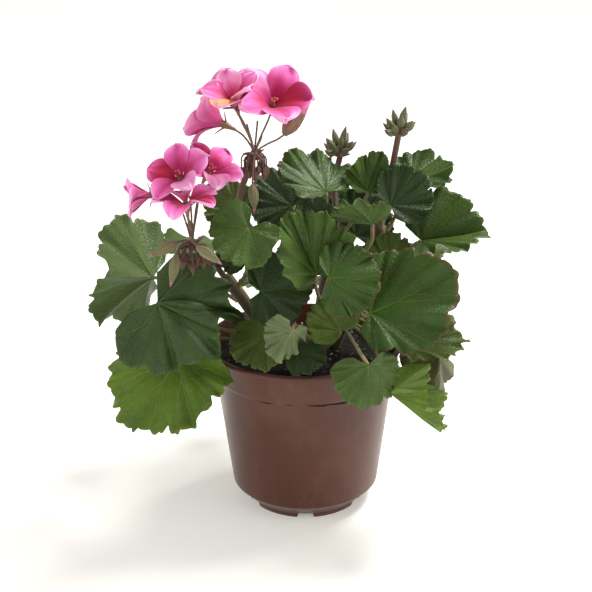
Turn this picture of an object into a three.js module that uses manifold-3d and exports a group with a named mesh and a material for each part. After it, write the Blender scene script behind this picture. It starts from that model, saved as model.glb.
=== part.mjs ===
// Potted geranium: a nursery pot, its soil, and the plant with its leaves, flower heads and buds.
// Millimetres, +Z up. The origin is on the pot's axis, where the pot stands; -Y is the front.

import * as THREE from 'three';
import { ParametricGeometry } from 'three/addons/geometries/ParametricGeometry.js';
import { mergeVertices } from 'three/addons/utils/BufferGeometryUtils.js';
import Module from 'manifold-3d';

const wasm = await Module();
wasm.setup();

// ---------------------------------------------------------------- driving dimensions

const clearance = 0.3;

const pot = {
  height: 112,
  rimRadius: 65,
  wall: 1.2,
  lipOverhang: 1.8,
  lipDepth: 2.6,
  collarHeight: 20,
  collarStep: 1.3,
  collarFlare: 3,
  baseRadius: 49,
  baseChamfer: 9,
  footRadius: 39,
  footHeight: 3.5,
  footWidth: 4,
  padRadius: 7,
  slots: 6,
  slotWidth: 10,
  edgeRounding: 0.8,
  drainRadius: 4,
  segments: 36,
};

const soilDepthBelowRim = 13;
const soilCrown = 3;
const rootDepth = 12;

const stemRadius = 4;
const petioleRadius = 1.3;
const petioleGap = 1;
const peduncleRadius = 2.1;
const pedicelRadius = 0.75;
const bladeThickness = 1.2;
const petalThickness = 0.8;
const calyxLength = 9;

const rimZ = pot.height;
const floorZ = pot.footHeight + pot.wall;
const soilZ = pot.height - soilDepthBelowRim;

// ---------------------------------------------------------------- materials

const finish = (color, roughness, metalness = 0) =>
  new THREE.MeshStandardMaterial({ color, roughness, metalness });

const materials = {
  pot: () => finish(0x5d463b, 0.55),
  soil: () => finish(0x1a1714, 0.95),
  stem: () => finish(0x7a8450, 0.65),
  leaf: () => finish(0x44602c, 0.6),
  driedLeaf: () => finish(0x6d7440, 0.75),
  flowerStalk: () => finish(0x6b4a3c, 0.6),
  petal: () => finish(0xdc4f96, 0.5),
  bud: () => finish(0x7d8048, 0.6),
};

// ---------------------------------------------------------------- solids

// A closed manifold solid from any closed three.js geometry.
function solidOf(geometry) {
  const bare = geometry.clone();
  bare.deleteAttribute('normal');
  bare.deleteAttribute('uv');
  const merged = mergeVertices(bare, 1e-4);
  const corners = merged.index.array;
  const kept = [];
  for (let i = 0; i < corners.length; i += 3) {
    const [a, b, c] = [corners[i], corners[i + 1], corners[i + 2]];
    if (a !== b && b !== c && c !== a) kept.push(a, b, c);
  }
  return new wasm.Manifold(new wasm.Mesh({
    numProp: 3,
    vertProperties: Float32Array.from(merged.attributes.position.array),
    triVerts: Uint32Array.from(kept),
  }));
}

function geometryOf(solid) {
  const mesh = solid.getMesh();
  const geometry = new THREE.BufferGeometry();
  geometry.setAttribute('position', new THREE.BufferAttribute(mesh.vertProperties, 3));
  geometry.setIndex(new THREE.BufferAttribute(mesh.triVerts, 1));
  geometry.computeVertexNormals();
  return geometry;
}

function piece(name, solid, material) {
  const mesh = new THREE.Mesh(geometryOf(solid), material);
  mesh.name = name;
  return mesh;
}

const vector = ([x, y, z]) => new THREE.Vector3(x, y, z);

// A place whose height is given above the rim.
const atRim = ([x, y, h]) => new THREE.Vector3(x, y, rimZ + h);

// A round bar along a curve.
function bar(curve, radius, sides = 6, steps = 5) {
  const section = new THREE.Shape();
  for (let i = 0; i < sides; i += 1) {
    const angle = (2 * Math.PI * i) / sides;
    const [x, y] = [radius * Math.cos(angle), radius * Math.sin(angle)];
    if (i === 0) section.moveTo(x, y);
    else section.lineTo(x, y);
  }
  section.closePath();
  return solidOf(new THREE.ExtrudeGeometry(section, { steps, bevelEnabled: false, extrudePath: curve }));
}

// A profile of radius and height turned round Z.
function latheOf(profile, segments) {
  const points = profile.map(([r, z]) => new THREE.Vector2(r, z));
  return new THREE.LatheGeometry(points, segments).rotateX(Math.PI / 2);
}

// Turns a shape that was made along +Z to look along a direction, and puts it at a place.
function aimed(geometry, direction, place) {
  const turn = new THREE.Quaternion().setFromUnitVectors(new THREE.Vector3(0, 0, 1), direction);
  return geometry.applyQuaternion(turn).translate(place.x, place.y, place.z);
}

// ---------------------------------------------------------------- pot and soil

const collarZ = rimZ - pot.collarHeight;
const collarTopRadius = pot.rimRadius - pot.lipOverhang;
const collarRadius = collarTopRadius - pot.collarFlare;
const bodyTopRadius = collarRadius - pot.collarStep;
const chamferZ = pot.footHeight + pot.baseChamfer;

function potInnerRadius(z) {
  const slope = (bodyTopRadius - pot.baseRadius) / (collarZ - chamferZ);
  if (z <= collarZ) return pot.baseRadius + slope * (z - chamferZ) - pot.wall;
  const flare = pot.collarFlare / pot.collarHeight;
  return collarRadius + flare * (z - collarZ) - pot.wall;
}

function potSolid() {
  const { wall, rimRadius, lipDepth, edgeRounding, baseRadius } = pot;
  const { footRadius, footHeight, footWidth, padRadius } = pot;
  const stepZ = collarZ - pot.collarStep / 2;
  const profile = [
    [0, 0], [padRadius, 0], [padRadius + 1, footHeight],
    [footRadius - footWidth, footHeight], [footRadius - footWidth, 0], [footRadius, 0],
    [footRadius + 1, footHeight], [baseRadius, chamferZ],
    [bodyTopRadius, stepZ], [collarRadius, collarZ],
    [collarTopRadius, rimZ - lipDepth], [rimRadius, rimZ - lipDepth], [rimRadius, rimZ - edgeRounding],
    [rimRadius - edgeRounding, rimZ], [collarTopRadius - wall, rimZ],
    [potInnerRadius(collarZ + 0.01), collarZ + wall], [potInnerRadius(stepZ), stepZ],
    [baseRadius - wall, chamferZ], [footRadius + 1, floorZ], [0, floorZ], [0, 0],
  ];
  let solid = solidOf(latheOf(profile, pot.segments));
  const drainCircle = footRadius - footWidth - 2 * pot.drainRadius;
  for (let i = 0; i < pot.slots; i += 1) {
    const angle = (2 * Math.PI * (i + 0.5)) / pot.slots;
    const slot = new THREE.BoxGeometry(3 * footWidth, pot.slotWidth, 2 * (footHeight - 0.5))
      .translate(footRadius, 0, 0).rotateZ(angle);
    const drain = new THREE.CylinderGeometry(pot.drainRadius, pot.drainRadius, 4 * floorZ, 8)
      .rotateX(Math.PI / 2).translate(drainCircle, 0, 0).rotateZ(angle);
    solid = solid.subtract(solidOf(slot)).subtract(solidOf(drain));
  }
  return solid;
}

function soilSolid() {
  const bottom = floorZ + clearance;
  const topRadius = potInnerRadius(soilZ) - clearance;
  const profile = [
    [0, bottom], [pot.footRadius - clearance, bottom],
    [pot.baseRadius - pot.wall - 2 * clearance, chamferZ + clearance],
    [potInnerRadius(collarZ - pot.collarStep) - clearance, collarZ - pot.collarStep],
    [topRadius, soilZ], [0.6 * topRadius, soilZ + 0.8 * soilCrown], [0, soilZ + soilCrown], [0, bottom],
  ];
  return solidOf(latheOf(profile, pot.segments));
}

// ---------------------------------------------------------------- stems

// Points of each main stem, from the height where it leaves the soil; heights are above the soil.
const stemPlans = {
  left: [[-14, 6, 0], [-24, 2, 14], [-38, -6, 40], [-50, -14, 60]],
  back: [[-6, 20, 0], [-12, 18, 26], [-22, 12, 54], [-30, 6, 78]],
  centre: [[6, 4, 0], [9, -2, 24], [14, -4, 54], [20, 2, 84]],
  right: [[20, 12, 0], [28, 9, 24], [40, 6, 54], [50, 7, 88]],
  front: [[2, -20, 0], [4, -26, 12], [8, -32, 26]],
};

function stemCurve(points) {
  const rising = points.map(([x, y, h]) => new THREE.Vector3(x, y, soilZ + h));
  const foot = rising[0].clone();
  foot.z -= rootDepth;
  return new THREE.CatmullRomCurve3([foot, ...rising]);
}

const stemCurves = {};
for (const [name, points] of Object.entries(stemPlans)) stemCurves[name] = stemCurve(points);

const stemSolid = (curve) => bar(curve, stemRadius, 8, 7);
const stemSocket = (curve) => bar(curve, stemRadius + clearance, 8, 7);

// ---------------------------------------------------------------- leaves

const lobes = 5;
const bladeSectors = 4 * lobes;

// Distance from the leaf's middle to its margin, as a share of its radius; 0 is the tip.
function marginRatio(angle, taper, lobed) {
  const tapered = 1 - (taper / 2) * (1 - Math.cos(angle));
  const scalloped = 1 + lobed * Math.cos(lobes * angle);
  const fromSinus = (Math.PI - Math.abs(angle)) / 0.3;
  const sinus = 1 - 0.84 * Math.exp(-(fromSinus ** 2));
  return tapered * scalloped * sinus;
}

// The blade opens out over this share of the full turn round its hub; only the sinus itself closes the ring.
function spreadAngle(angle, spread) {
  return angle * (spread + (1 - spread) * (Math.abs(angle) / Math.PI) ** 18);
}

// Where a leaf's blade lies: x runs from its middle to its tip, z is its upper side.
function bladeFrame(plan) {
  const tip = vector(plan.tip).normalize();
  const face = vector(plan.face);
  face.addScaledVector(tip, -face.dot(tip)).normalize();
  const side = new THREE.Vector3().crossVectors(face, tip);
  return new THREE.Matrix4().makeBasis(tip, side, face).setPosition(leafHub(plan));
}

const leafHub = (plan) => atRim(plan.hub);

// A point of the blade's middle sheet. share is 0 at the petiole and 1 at the margin.
function bladePoint(plan, share, angle) {
  const { radius, cup = 0, fold = 0, curl = 0, wave = 0, waves = lobes, phase = 0 } = plan;
  const { spread = 0.65, taper = 0.25, lobed = 0.07 } = plan;
  const reach = radius * share * marginRatio(angle, taper, lobed);
  const heading = spreadAngle(angle, spread);
  const foldAngle = THREE.MathUtils.degToRad(fold);
  const along = reach * Math.cos(heading);
  const across = reach * Math.sin(heading);
  const lift = radius * share ** 2 * (cup + wave * Math.cos(waves * angle + THREE.MathUtils.degToRad(phase)))
    + Math.abs(across) * Math.sin(foldAngle);
  const bend = THREE.MathUtils.degToRad(curl) * (along / radius);
  const arc = Math.abs(bend) < 1e-6 ? [along, 0]
    : [(along * Math.sin(bend)) / bend, (-along * (1 - Math.cos(bend))) / bend];
  return new THREE.Vector3(
    arc[0] + lift * Math.sin(bend),
    across * Math.cos(foldAngle),
    arc[1] + lift * Math.cos(bend),
  );
}

function bladeNormal(plan, share, angle) {
  const step = 0.02;
  const inner = Math.max(share - step, 0.01);
  const outward = bladePoint(plan, share + step, angle).sub(bladePoint(plan, inner, angle));
  const ring = Math.max(share, 0.05);
  const around = bladePoint(plan, ring, angle + step).sub(bladePoint(plan, ring, angle - step));
  return outward.cross(around).normalize();
}

function bladeSolid(plan) {
  const sheet = (u, v, target) => {
    const angle = Math.PI * (1 - 2 * (u % 1));
    const share = v <= 0.5 ? 2 * v : 2 * (1 - v);
    const half = (bladeThickness / 2) * (1 - share ** 2) * (v <= 0.5 ? 1 : -1);
    const normal = share === 0 ? new THREE.Vector3(0, 0, 1) : bladeNormal(plan, share, angle);
    target.copy(bladePoint(plan, share, angle)).addScaledVector(normal, half);
  };
  const geometry = new ParametricGeometry(sheet, bladeSectors, 4);
  return solidOf(geometry.applyMatrix4(bladeFrame(plan)));
}

// The petiole leaves the stem's side square on, and meets the blade from below.
function petioleCurve(plan) {
  const hub = leafHub(plan);
  const stem = stemCurves[plan.stem];
  const axis = stem.getTangent(plan.node);
  const middle = stem.getPoint(plan.node);
  const out = hub.clone().sub(middle);
  out.addScaledVector(axis, -out.dot(axis)).normalize();
  const root = middle.addScaledVector(out, stemRadius + petioleGap);
  const length = hub.distanceTo(root);
  const frame = bladeFrame(plan);
  const upper = new THREE.Vector3().setFromMatrixColumn(frame, 2);
  const tip = new THREE.Vector3().setFromMatrixColumn(frame, 0);
  const leave = root.clone().addScaledVector(out, length * 0.2)
    .addScaledVector(vector(plan.rise ?? [0, 0, 1]), length * 0.2);
  const back = plan.from ? vector(plan.from).multiplyScalar(0.35)
    : upper.multiplyScalar(-(plan.under ?? 0.2)).addScaledVector(tip, -(plan.behind ?? 0.15));
  const arrive = hub.clone().addScaledVector(back, length);
  return new THREE.CubicBezierCurve3(root, leave, arrive, hub);
}

function leafSolid(plan) {
  return bladeSolid(plan).add(bar(petioleCurve(plan), petioleRadius, 5, 5));
}

// Each leaf: the stem it grows on and how far up (0 to 1), the place of its hub (heights are above the rim),
// the way its tip points, the way its upper side faces, its radius, and its form: cup, fold and curl bend the
// blade, wave and phase ruffle its margin, and rise, under, behind and from shape its petiole.
const leafPlans = {
  left_front: {
    stem: 'left', node: 0.6, hub: [-89, -41, 40], tip: [0.78, -0.4, -0.46], rise: [0, 0, -0.1],
    face: [-0.1, -0.82, 0.55], radius: 45, cup: -0.06, wave: 0.05, phase: 180, fold: -6,
    spread: 0.62, taper: 0.1,
  },
  left_low: {
    stem: 'left', node: 0.45, hub: [-80, -33, -1], tip: [-0.5, -0.6, -0.7], under: 0.02,
    behind: 0.4, face: [-0.25, -0.6, 0.75], radius: 51, cup: -0.04, wave: 0.04, waves: 4,
    spread: 0.64, lobed: 0.06,
  },
  left_back: {
    stem: 'left', node: 0.8, hub: [-98, 2, 42], tip: [-0.5, -0.8, 0.3], face: [0.8, -0.55, -0.1],
    radius: 50, fold: -28, wave: 0.05, waves: 5, spread: 0.8,
  },
  left_inner: {
    stem: 'left', node: 0.9, hub: [-32, -55, 91], tip: [-0.6, -0.4, -0.6], face: [0.1, -0.85, 0.5],
    radius: 24, cup: 0.05, wave: 0.12, waves: 3, spread: 0.85,
  },
  behind_flowers: {
    stem: 'back', node: 0.85, hub: [-44, 4, 84], tip: [-0.5, 0.3, 0.75], face: [0, -0.9, 0.4],
    radius: 23, wave: 0.06, waves: 3, spread: 0.5,
  },
  left_shaded: {
    stem: 'left', node: 0.9, hub: [-36, -20, 65], tip: [-0.75, 0.5, 0.3], rise: [0, 0, 0.5],
    face: [-0.2, -0.6, 0.75], radius: 21, cup: -0.08,
  },
  upper_shaded: {
    stem: 'back', node: 0.9, hub: [-7, 8, 87], tip: [-0.69, 0.49, 0.54], face: [-0.1, -0.8, 0.6],
    radius: 30, cup: 0.05,
  },
  top_fan: {
    stem: 'centre', node: 0.95, hub: [14, -13, 101], tip: [-0.6, 0.55, 0.5],
    face: [0.4, -0.45, 0.8], radius: 36, cup: 0.08, wave: 0.06, waves: 5, spread: 0.5, lobed: 0.08,
  },
  top_ruffled: {
    stem: 'centre', node: 1, hub: [41, -2, 98], tip: [0.3, 0.4, 0.85], face: [0.2, -0.8, 0.55],
    radius: 25, cup: 0.08, wave: 0.12, waves: 4, spread: 0.5,
  },
  top_small: {
    stem: 'centre', node: 0.85, hub: [10, -32, 91], tip: [-0.6, 0.45, 0.65],
    face: [-0.3, -0.8, 0.5], radius: 13, cup: 0.1,
  },
  young_cup: {
    stem: 'centre', node: 0.75, hub: [42, -26, 84], tip: [-0.95, -0.15, 0.12],
    face: [0, 0.25, 0.96], radius: 28, fold: 36, wave: 0.06, waves: 5, spread: 0.7,
  },
  centre_diagonal: {
    stem: 'centre', node: 0.65, hub: [7, -40, 57], tip: [-0.42, 0.08, 0.9],
    face: [0.35, -0.85, 0.3], radius: 42, fold: 34, wave: 0.06, waves: 5, spread: 0.46,
  },
  centre_ruffled: {
    stem: 'centre', node: 0.55, hub: [15, -59, 61], tip: [0.97, -0.05, 0.12],
    face: [0, -0.9, 0.45], radius: 30, fold: -16, wave: 0.08, waves: 5, spread: 0.58,
  },
  centre_dark: {
    stem: 'left', node: 0.5, hub: [-26, -38, 46], tip: [0.96, -0.1, 0.12],
    face: [-0.15, -0.85, 0.5], radius: 32, cup: 0.04, spread: 0.74, taper: 0.45,
  },
  pale_crumpled: {
    stem: 'front', node: 1, hub: [-7, -70, 33], tip: [-0.47, -0.2, -0.85], face: [0.3, -0.9, 0.2],
    radius: 20, fold: -40, wave: 0.12, waves: 5, rise: [-0.2, 0.1, 1.2],
  },
  low_left: {
    stem: 'front', node: 0.6, hub: [-21, -40, 19], tip: [-0.77, -0.39, -0.45],
    face: [-0.2, -0.5, 0.85], radius: 27, cup: -0.05,
  },
  low_centre: {
    stem: 'front', node: 0.75, hub: [-6, -51, 10], tip: [0.9, -0.4, -0.1], face: [0, -0.5, 0.87],
    radius: 20, cup: -0.05, spread: 0.48,
  },
  yellow_green: {
    stem: 'front', node: 0.8, hub: [22, -41, 21], tip: [-0.55, 0.25, 0.75], face: [-0.2, -0.8, 0.55],
    radius: 23, cup: 0.06, fold: 8, spread: 0.55,
  },
  right_large: {
    stem: 'right', node: 0.6, hub: [40, -52, 36], tip: [0.9, 0.05, 0.42],
    face: [-0.05, -0.75, 0.65], radius: 53, cup: 0.04, wave: 0.03, waves: 3, spread: 0.74,
    taper: 0.62,
  },
  right_under: {
    stem: 'right', node: 0.52, hub: [65, -31, 6], tip: [1, 0.05, 0], face: [0, -0.35, 0.93],
    radius: 36, fold: 24, wave: 0.06, waves: 5,
  },
  right_hanging: {
    stem: 'right', node: 0.42, hub: [37, -80, 15], tip: [0.1, -0.15, -0.98],
    face: [0.25, -0.93, 0.1], radius: 27, fold: -16, cup: -0.05, spread: 0.6,
  },
  right_trailing: {
    stem: 'right', node: 0.45, hub: [51, -61, -11], tip: [0.78, -0.1, -0.6],
    face: [0.5, -0.1, 0.85], radius: 40, fold: 44, wave: 0.05, waves: 5, spread: 0.46,
    from: [-0.1, 0.75, 0.8],
  },
  right_withered: {
    stem: 'right', node: 0.48, hub: [84, -27, 0], tip: [0, -0.15, -0.97], rise: [0, 0, 0],
    from: [-0.9, 0.35, 0.18], face: [0.2, -0.9, 0.2], radius: 33, fold: -50, wave: 0.14, waves: 5,
  },
  right_reaching: {
    stem: 'right', node: 0.85, hub: [75, 2, 65], tip: [0.97, -0.1, 0.12], face: [0, -0.5, 0.87],
    radius: 42, fold: 32, wave: 0.08, phase: 180,
  },
  right_olive: {
    stem: 'right', node: 0.7, hub: [53, -14, 50], tip: [0, 0.3, 0.92], face: [0.1, -0.9, 0.4],
    radius: 24, cup: -0.05, wave: 0.08, waves: 4,
  },
  right_upright: {
    stem: 'right', node: 1, hub: [54, -12, 92], tip: [0.75, 0.3, 0.52], face: [0.1, -0.85, 0.5],
    radius: 29, cup: 0.06, spread: 0.45,
  },
  right_top: {
    stem: 'right', node: 0.96, hub: [69, 14, 102], tip: [0.95, 0.1, 0.15], face: [0, -0.37, 0.93],
    radius: 27, cup: 0.2, wave: 0.08, waves: 4, spread: 0.75,
  },
  inner_dark: {
    stem: 'centre', node: 0.8, hub: [34, 24, 62], tip: [0, 0.4, 0.9], face: [0.1, -0.9, 0.4],
    radius: 32, cup: 0.05,
  },
  back_left: {
    stem: 'left', node: 0.6, hub: [-60, 52, 44], tip: [-0.7, 0.65, 0.1], face: [-0.3, 0.5, 0.8],
    radius: 44, cup: -0.06, wave: 0.05,
  },
  back_low: {
    stem: 'back', node: 0.45, hub: [-14, 80, 12], tip: [-0.1, 0.85, -0.45], face: [0, 0.6, 0.8],
    radius: 40, cup: -0.06, wave: 0.04,
  },
  back_high: {
    stem: 'back', node: 0.75, hub: [-4, 46, 82], tip: [0.1, 0.35, -0.93], face: [0, 0.92, 0.35],
    radius: 42, cup: 0.08, wave: 0.06, waves: 5,
  },
  back_right: {
    stem: 'right', node: 0.65, hub: [62, 56, 36], tip: [0.7, 0.65, 0.05], face: [0.3, 0.5, 0.8],
    radius: 44, cup: -0.05, wave: 0.05,
  },
};

// ---------------------------------------------------------------- flower heads

// Each flower head: the stem it grows on, a bend of its stalk, and its whorl. Heights are above the rim.
const headPlans = {
  upper: { stem: 'back', bend: [-40, -12, 94], whorl: [-29, -20, 127], up: [0.1, -0.05, 1] },
  left: { stem: 'left', bend: [-57, -12, 62], whorl: [-67, -37, 76], up: [0.05, -0.05, 1] },
  right: { stem: 'right', bend: [55, 9, 103], whorl: [60, 12, 131], up: [0.1, 0, 1] },
  middle: { stem: 'centre', bend: [20, 16, 100], whorl: [24, 22, 116], up: [0, 0, 1] },
};

// Each floret: its flower head, the end of its stalk, the way it faces, how far it has opened, and its size.
const floretPlans = {
  upper_left: {
    head: 'upper', foot: [-40, -24, 143], face: [-0.85, 0.2, 0.35], open: 46, size: 22, turn: 20,
  },
  upper_back: {
    head: 'upper', foot: [-39, -3, 149], face: [-0.5, 0.35, 0.8], open: 44, size: 20, turn: 0,
  },
  upper_middle: {
    head: 'upper', foot: [-37, -35, 154], face: [-0.15, -0.5, 0.85], open: 38, size: 19, turn: 30,
  },
  upper_right: {
    head: 'upper', foot: [-19, -20, 151], face: [0.18, -0.62, 0.77], open: 58, size: 24, turn: 0,
  },
  left_front: {
    head: 'left', foot: [-68, -46, 114], face: [-0.3, -0.58, 0.75], open: 64, size: 19, turn: 10,
  },
  left_inner: {
    head: 'left', foot: [-60, -28, 112], face: [0.45, -0.42, 0.78], open: 58, size: 18, turn: 0,
  },
  left_lower: {
    head: 'left', foot: [-66, -64, 101], face: [-0.05, -0.1, 1], open: 84, size: 17, turn: 36,
  },
  left_outer: {
    head: 'left', foot: [-82, -42, 109], face: [-0.95, -0.2, -0.05], open: 30, size: 15, turn: 0,
  },
};

// Buds: the flower head, the end of its stalk, the way it points, its length and its width.
const budPlans = {
  upper_opening: { head: 'upper', foot: [-11, -16, 138], face: [0.62, 0.05, 0.78], length: 26, width: 10 },
  upper_hanging: { head: 'upper', foot: [-30, -33, 112], face: [0.05, -0.2, -1], length: 17, width: 6 },
  left_outer: { head: 'left', foot: [-74, -48, 81], face: [-0.85, -0.2, -0.35], length: 20, width: 7 },
  left_hanging: { head: 'left', foot: [-75, -52, 75], face: [-0.2, -0.3, -0.95], length: 20, width: 6 },
  left_inner: { head: 'left', foot: [-61, -69, 85], face: [0.75, -0.25, -0.5], length: 18, width: 6 },
};

function stalkCurve({ head, foot, face }) {
  const whorl = atRim(headPlans[head].whorl);
  const end = atRim(foot);
  const reach = whorl.distanceTo(end);
  const out = end.clone().sub(whorl).normalize().add(vector(headPlans[head].up).normalize()).normalize();
  const leave = whorl.clone().addScaledVector(out, reach * 0.4);
  const arrive = end.clone().addScaledVector(vector(face).normalize(), -reach * 0.25);
  return new THREE.CubicBezierCurve3(whorl, leave, arrive, end);
}

// The stalk goes on from the top of its stem.
function peduncleCurve(plan) {
  const stem = stemCurves[plan.stem];
  const start = stem.getPoint(1).addScaledVector(stem.getTangent(1), clearance);
  const second = start.clone().addScaledVector(stem.getTangent(1), 6);
  return new THREE.CatmullRomCurve3([start, second, atRim(plan.bend), atRim(plan.whorl)]);
}

// Stalks that have lost their flowers or carry a bud too small to show.
const bareStalkPlans = {
  upper_a: { head: 'upper', foot: [-27, -12, 146], face: [0.1, 0.1, 1] },
  upper_b: { head: 'upper', foot: [-33, -22, 146], face: [-0.1, -0.1, 1] },
  upper_c: { head: 'upper', foot: [-24, -25, 140], face: [0.1, -0.2, 1] },
  left_a: { head: 'left', foot: [-70, -38, 106], face: [-0.1, 0.2, 1] },
  left_b: { head: 'left', foot: [-62, -40, 104], face: [0.1, 0, 1] },
};

const stalksOf = (head) => [floretPlans, budPlans, bareStalkPlans].flatMap((plans) => Object.values(plans))
  .filter((one) => one.head === head).map(stalkCurve);

function headSolid(name, plan) {
  let solid = bar(peduncleCurve(plan), peduncleRadius, 7, 6);
  for (const curve of stalksOf(name)) solid = solid.add(bar(curve, pedicelRadius, 5, 4));
  return solid;
}

// A round shape on the stalk's end, cut free of the stalks that pass through it.
function onWhorl(name, plan, profile) {
  let solid = solidOf(aimed(latheOf(profile, 10), vector(plan.up).normalize(), atRim(plan.whorl)));
  solid = solid.subtract(bar(peduncleCurve(plan), peduncleRadius + clearance, 7, 6));
  for (const curve of stalksOf(name)) solid = solid.subtract(bar(curve, pedicelRadius + clearance, 5, 4));
  const [largest] = solid.decompose().sort((a, b) => b.volume() - a.volume());
  return largest;
}

const bractProfile = [[0, -4], [4, -14], [7.5, -11], [9, -2], [7, 2], [2.5, 3], [0, 2]];
const budClusterProfile = [[0, clearance], [3, clearance], [9, 3], [13, 8], [9, 13], [4, 19], [0, 20]];

const petalCount = 5;
const corollaSectors = 4 * petalCount;

// A floret is turned round the way it faces: calyx, petals from below, petals from above, throat.
function floretGeometry({ open, size, turn }) {
  const opening = THREE.MathUtils.degToRad(open);
  const [sin, cos] = [Math.sin(opening), Math.cos(opening)];
  const throat = 2.4;
  const middle = 0.55 * size;
  const waist = (lobe) => throat + middle * sin * (0.75 + 0.25 * lobe);
  const rings = [
    () => [0, clearance],
    () => [1.1, clearance],
    () => [throat, calyxLength],
    (lobe) => [waist(lobe) + petalThickness * cos, calyxLength + middle * cos],
    (lobe) => [throat + size * sin * lobe, calyxLength + size * cos * lobe],
    (lobe) => [waist(lobe), calyxLength + middle * cos + petalThickness],
    () => [0, calyxLength + 1.5],
  ];
  const sheet = (u, v, target) => {
    const angle = 2 * Math.PI * (u % 1);
    const lobe = 0.72 + 0.28 * Math.cos(petalCount * angle);
    const [r, z] = rings[Math.round(v * (rings.length - 1))](lobe);
    const heading = angle + THREE.MathUtils.degToRad(turn);
    target.set(r * Math.cos(heading), r * Math.sin(heading), z);
  };
  return new ParametricGeometry(sheet, corollaSectors, rings.length - 1);
}

function floretSolid(plan) {
  return solidOf(aimed(floretGeometry(plan), vector(plan.face).normalize(), atRim(plan.foot)));
}

function budSolid({ foot, face, length, width }) {
  const profile = [
    [0, clearance], [1.1, clearance], [0.32 * width, 0.2 * length],
    [0.5 * width, 0.5 * length], [0.38 * width, 0.8 * length], [0, length],
  ];
  return solidOf(aimed(latheOf(profile, 8), vector(face).normalize(), atRim(foot)));
}

// ---------------------------------------------------------------- the plant in its pot

const group = new THREE.Group();

let soil = soilSolid();
for (const curve of Object.values(stemCurves)) soil = soil.subtract(stemSocket(curve));

group.add(piece('pot', potSolid(), materials.pot()));
group.add(piece('soil', soil, materials.soil()));
for (const [name, curve] of Object.entries(stemCurves)) {
  group.add(piece(`stem_${name}`, stemSolid(curve), materials.stem()));
}
for (const [name, plan] of Object.entries(leafPlans)) {
  const material = name.includes('withered') ? materials.driedLeaf() : materials.leaf();
  group.add(piece(`leaf_${name}`, leafSolid(plan), material));
}
for (const [name, plan] of Object.entries(headPlans)) {
  group.add(piece(`flower_stalks_${name}`, headSolid(name, plan), materials.flowerStalk()));
}
for (const name of ['upper', 'left']) {
  group.add(piece(`bracts_${name}`, onWhorl(name, headPlans[name], bractProfile), materials.flowerStalk()));
}
for (const name of ['right', 'middle']) {
  group.add(piece(`bud_cluster_${name}`, onWhorl(name, headPlans[name], budClusterProfile), materials.bud()));
}
for (const [name, plan] of Object.entries(floretPlans)) {
  group.add(piece(`floret_${name}`, floretSolid(plan), materials.petal()));
}
for (const [name, plan] of Object.entries(budPlans)) {
  group.add(piece(`bud_${name}`, budSolid(plan), materials.bud()));
}

export default group;
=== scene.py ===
"""A geranium in a nursery pot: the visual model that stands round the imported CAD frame.

Metres, +Z up, -Y is the front. Every piece takes its place from the CAD nodes.
"""

import logging
import math
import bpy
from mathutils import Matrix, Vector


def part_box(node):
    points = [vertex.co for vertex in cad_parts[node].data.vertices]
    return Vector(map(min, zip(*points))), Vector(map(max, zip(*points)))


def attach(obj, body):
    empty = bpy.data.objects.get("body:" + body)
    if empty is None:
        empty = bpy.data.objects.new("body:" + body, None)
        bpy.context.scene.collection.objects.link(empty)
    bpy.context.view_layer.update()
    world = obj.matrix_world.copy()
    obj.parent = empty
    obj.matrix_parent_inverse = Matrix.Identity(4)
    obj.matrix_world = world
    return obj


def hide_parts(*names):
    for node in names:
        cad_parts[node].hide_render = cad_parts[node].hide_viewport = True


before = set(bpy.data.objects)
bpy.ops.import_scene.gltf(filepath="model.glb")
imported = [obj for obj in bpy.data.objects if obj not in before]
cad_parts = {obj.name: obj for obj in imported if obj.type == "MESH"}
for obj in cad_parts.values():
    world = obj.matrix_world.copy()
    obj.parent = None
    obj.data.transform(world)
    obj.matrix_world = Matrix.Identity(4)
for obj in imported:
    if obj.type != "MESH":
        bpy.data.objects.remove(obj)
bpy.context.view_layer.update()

import zlib
from collections.abc import Iterable, Sequence
from dataclasses import dataclass, field
from enum import Enum
from typing import Any

import bmesh
import bpy
import numpy as np
from mathutils import Matrix, Vector
from mathutils.bvhtree import BVHTree

WELD = 5e-6
MM = 0.001
Colour = tuple[float, float, float, float]
LOG = logging.getLogger("geranium")


def paint(red: int, green: int, blue: int) -> Colour:
    """A colour from the three numbers of a paint chart.

    Args:
        red: 0 to 255.
        green: 0 to 255.
        blue: 0 to 255.

    Returns:
        The same colour in linear light.
    """
    parts = [value / 255 for value in (red, green, blue)]
    linear = [p / 12.92 if p <= 0.04045 else ((p + 0.055) / 1.055) ** 2.4 for p in parts]
    return (linear[0], linear[1], linear[2], 1.0)


def dice(name: str) -> np.random.Generator:
    """A random source that depends only on a piece's name."""
    return np.random.default_rng(zlib.crc32(name.encode()))


# ---------------------------------------------------------------- shader nodes


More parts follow.
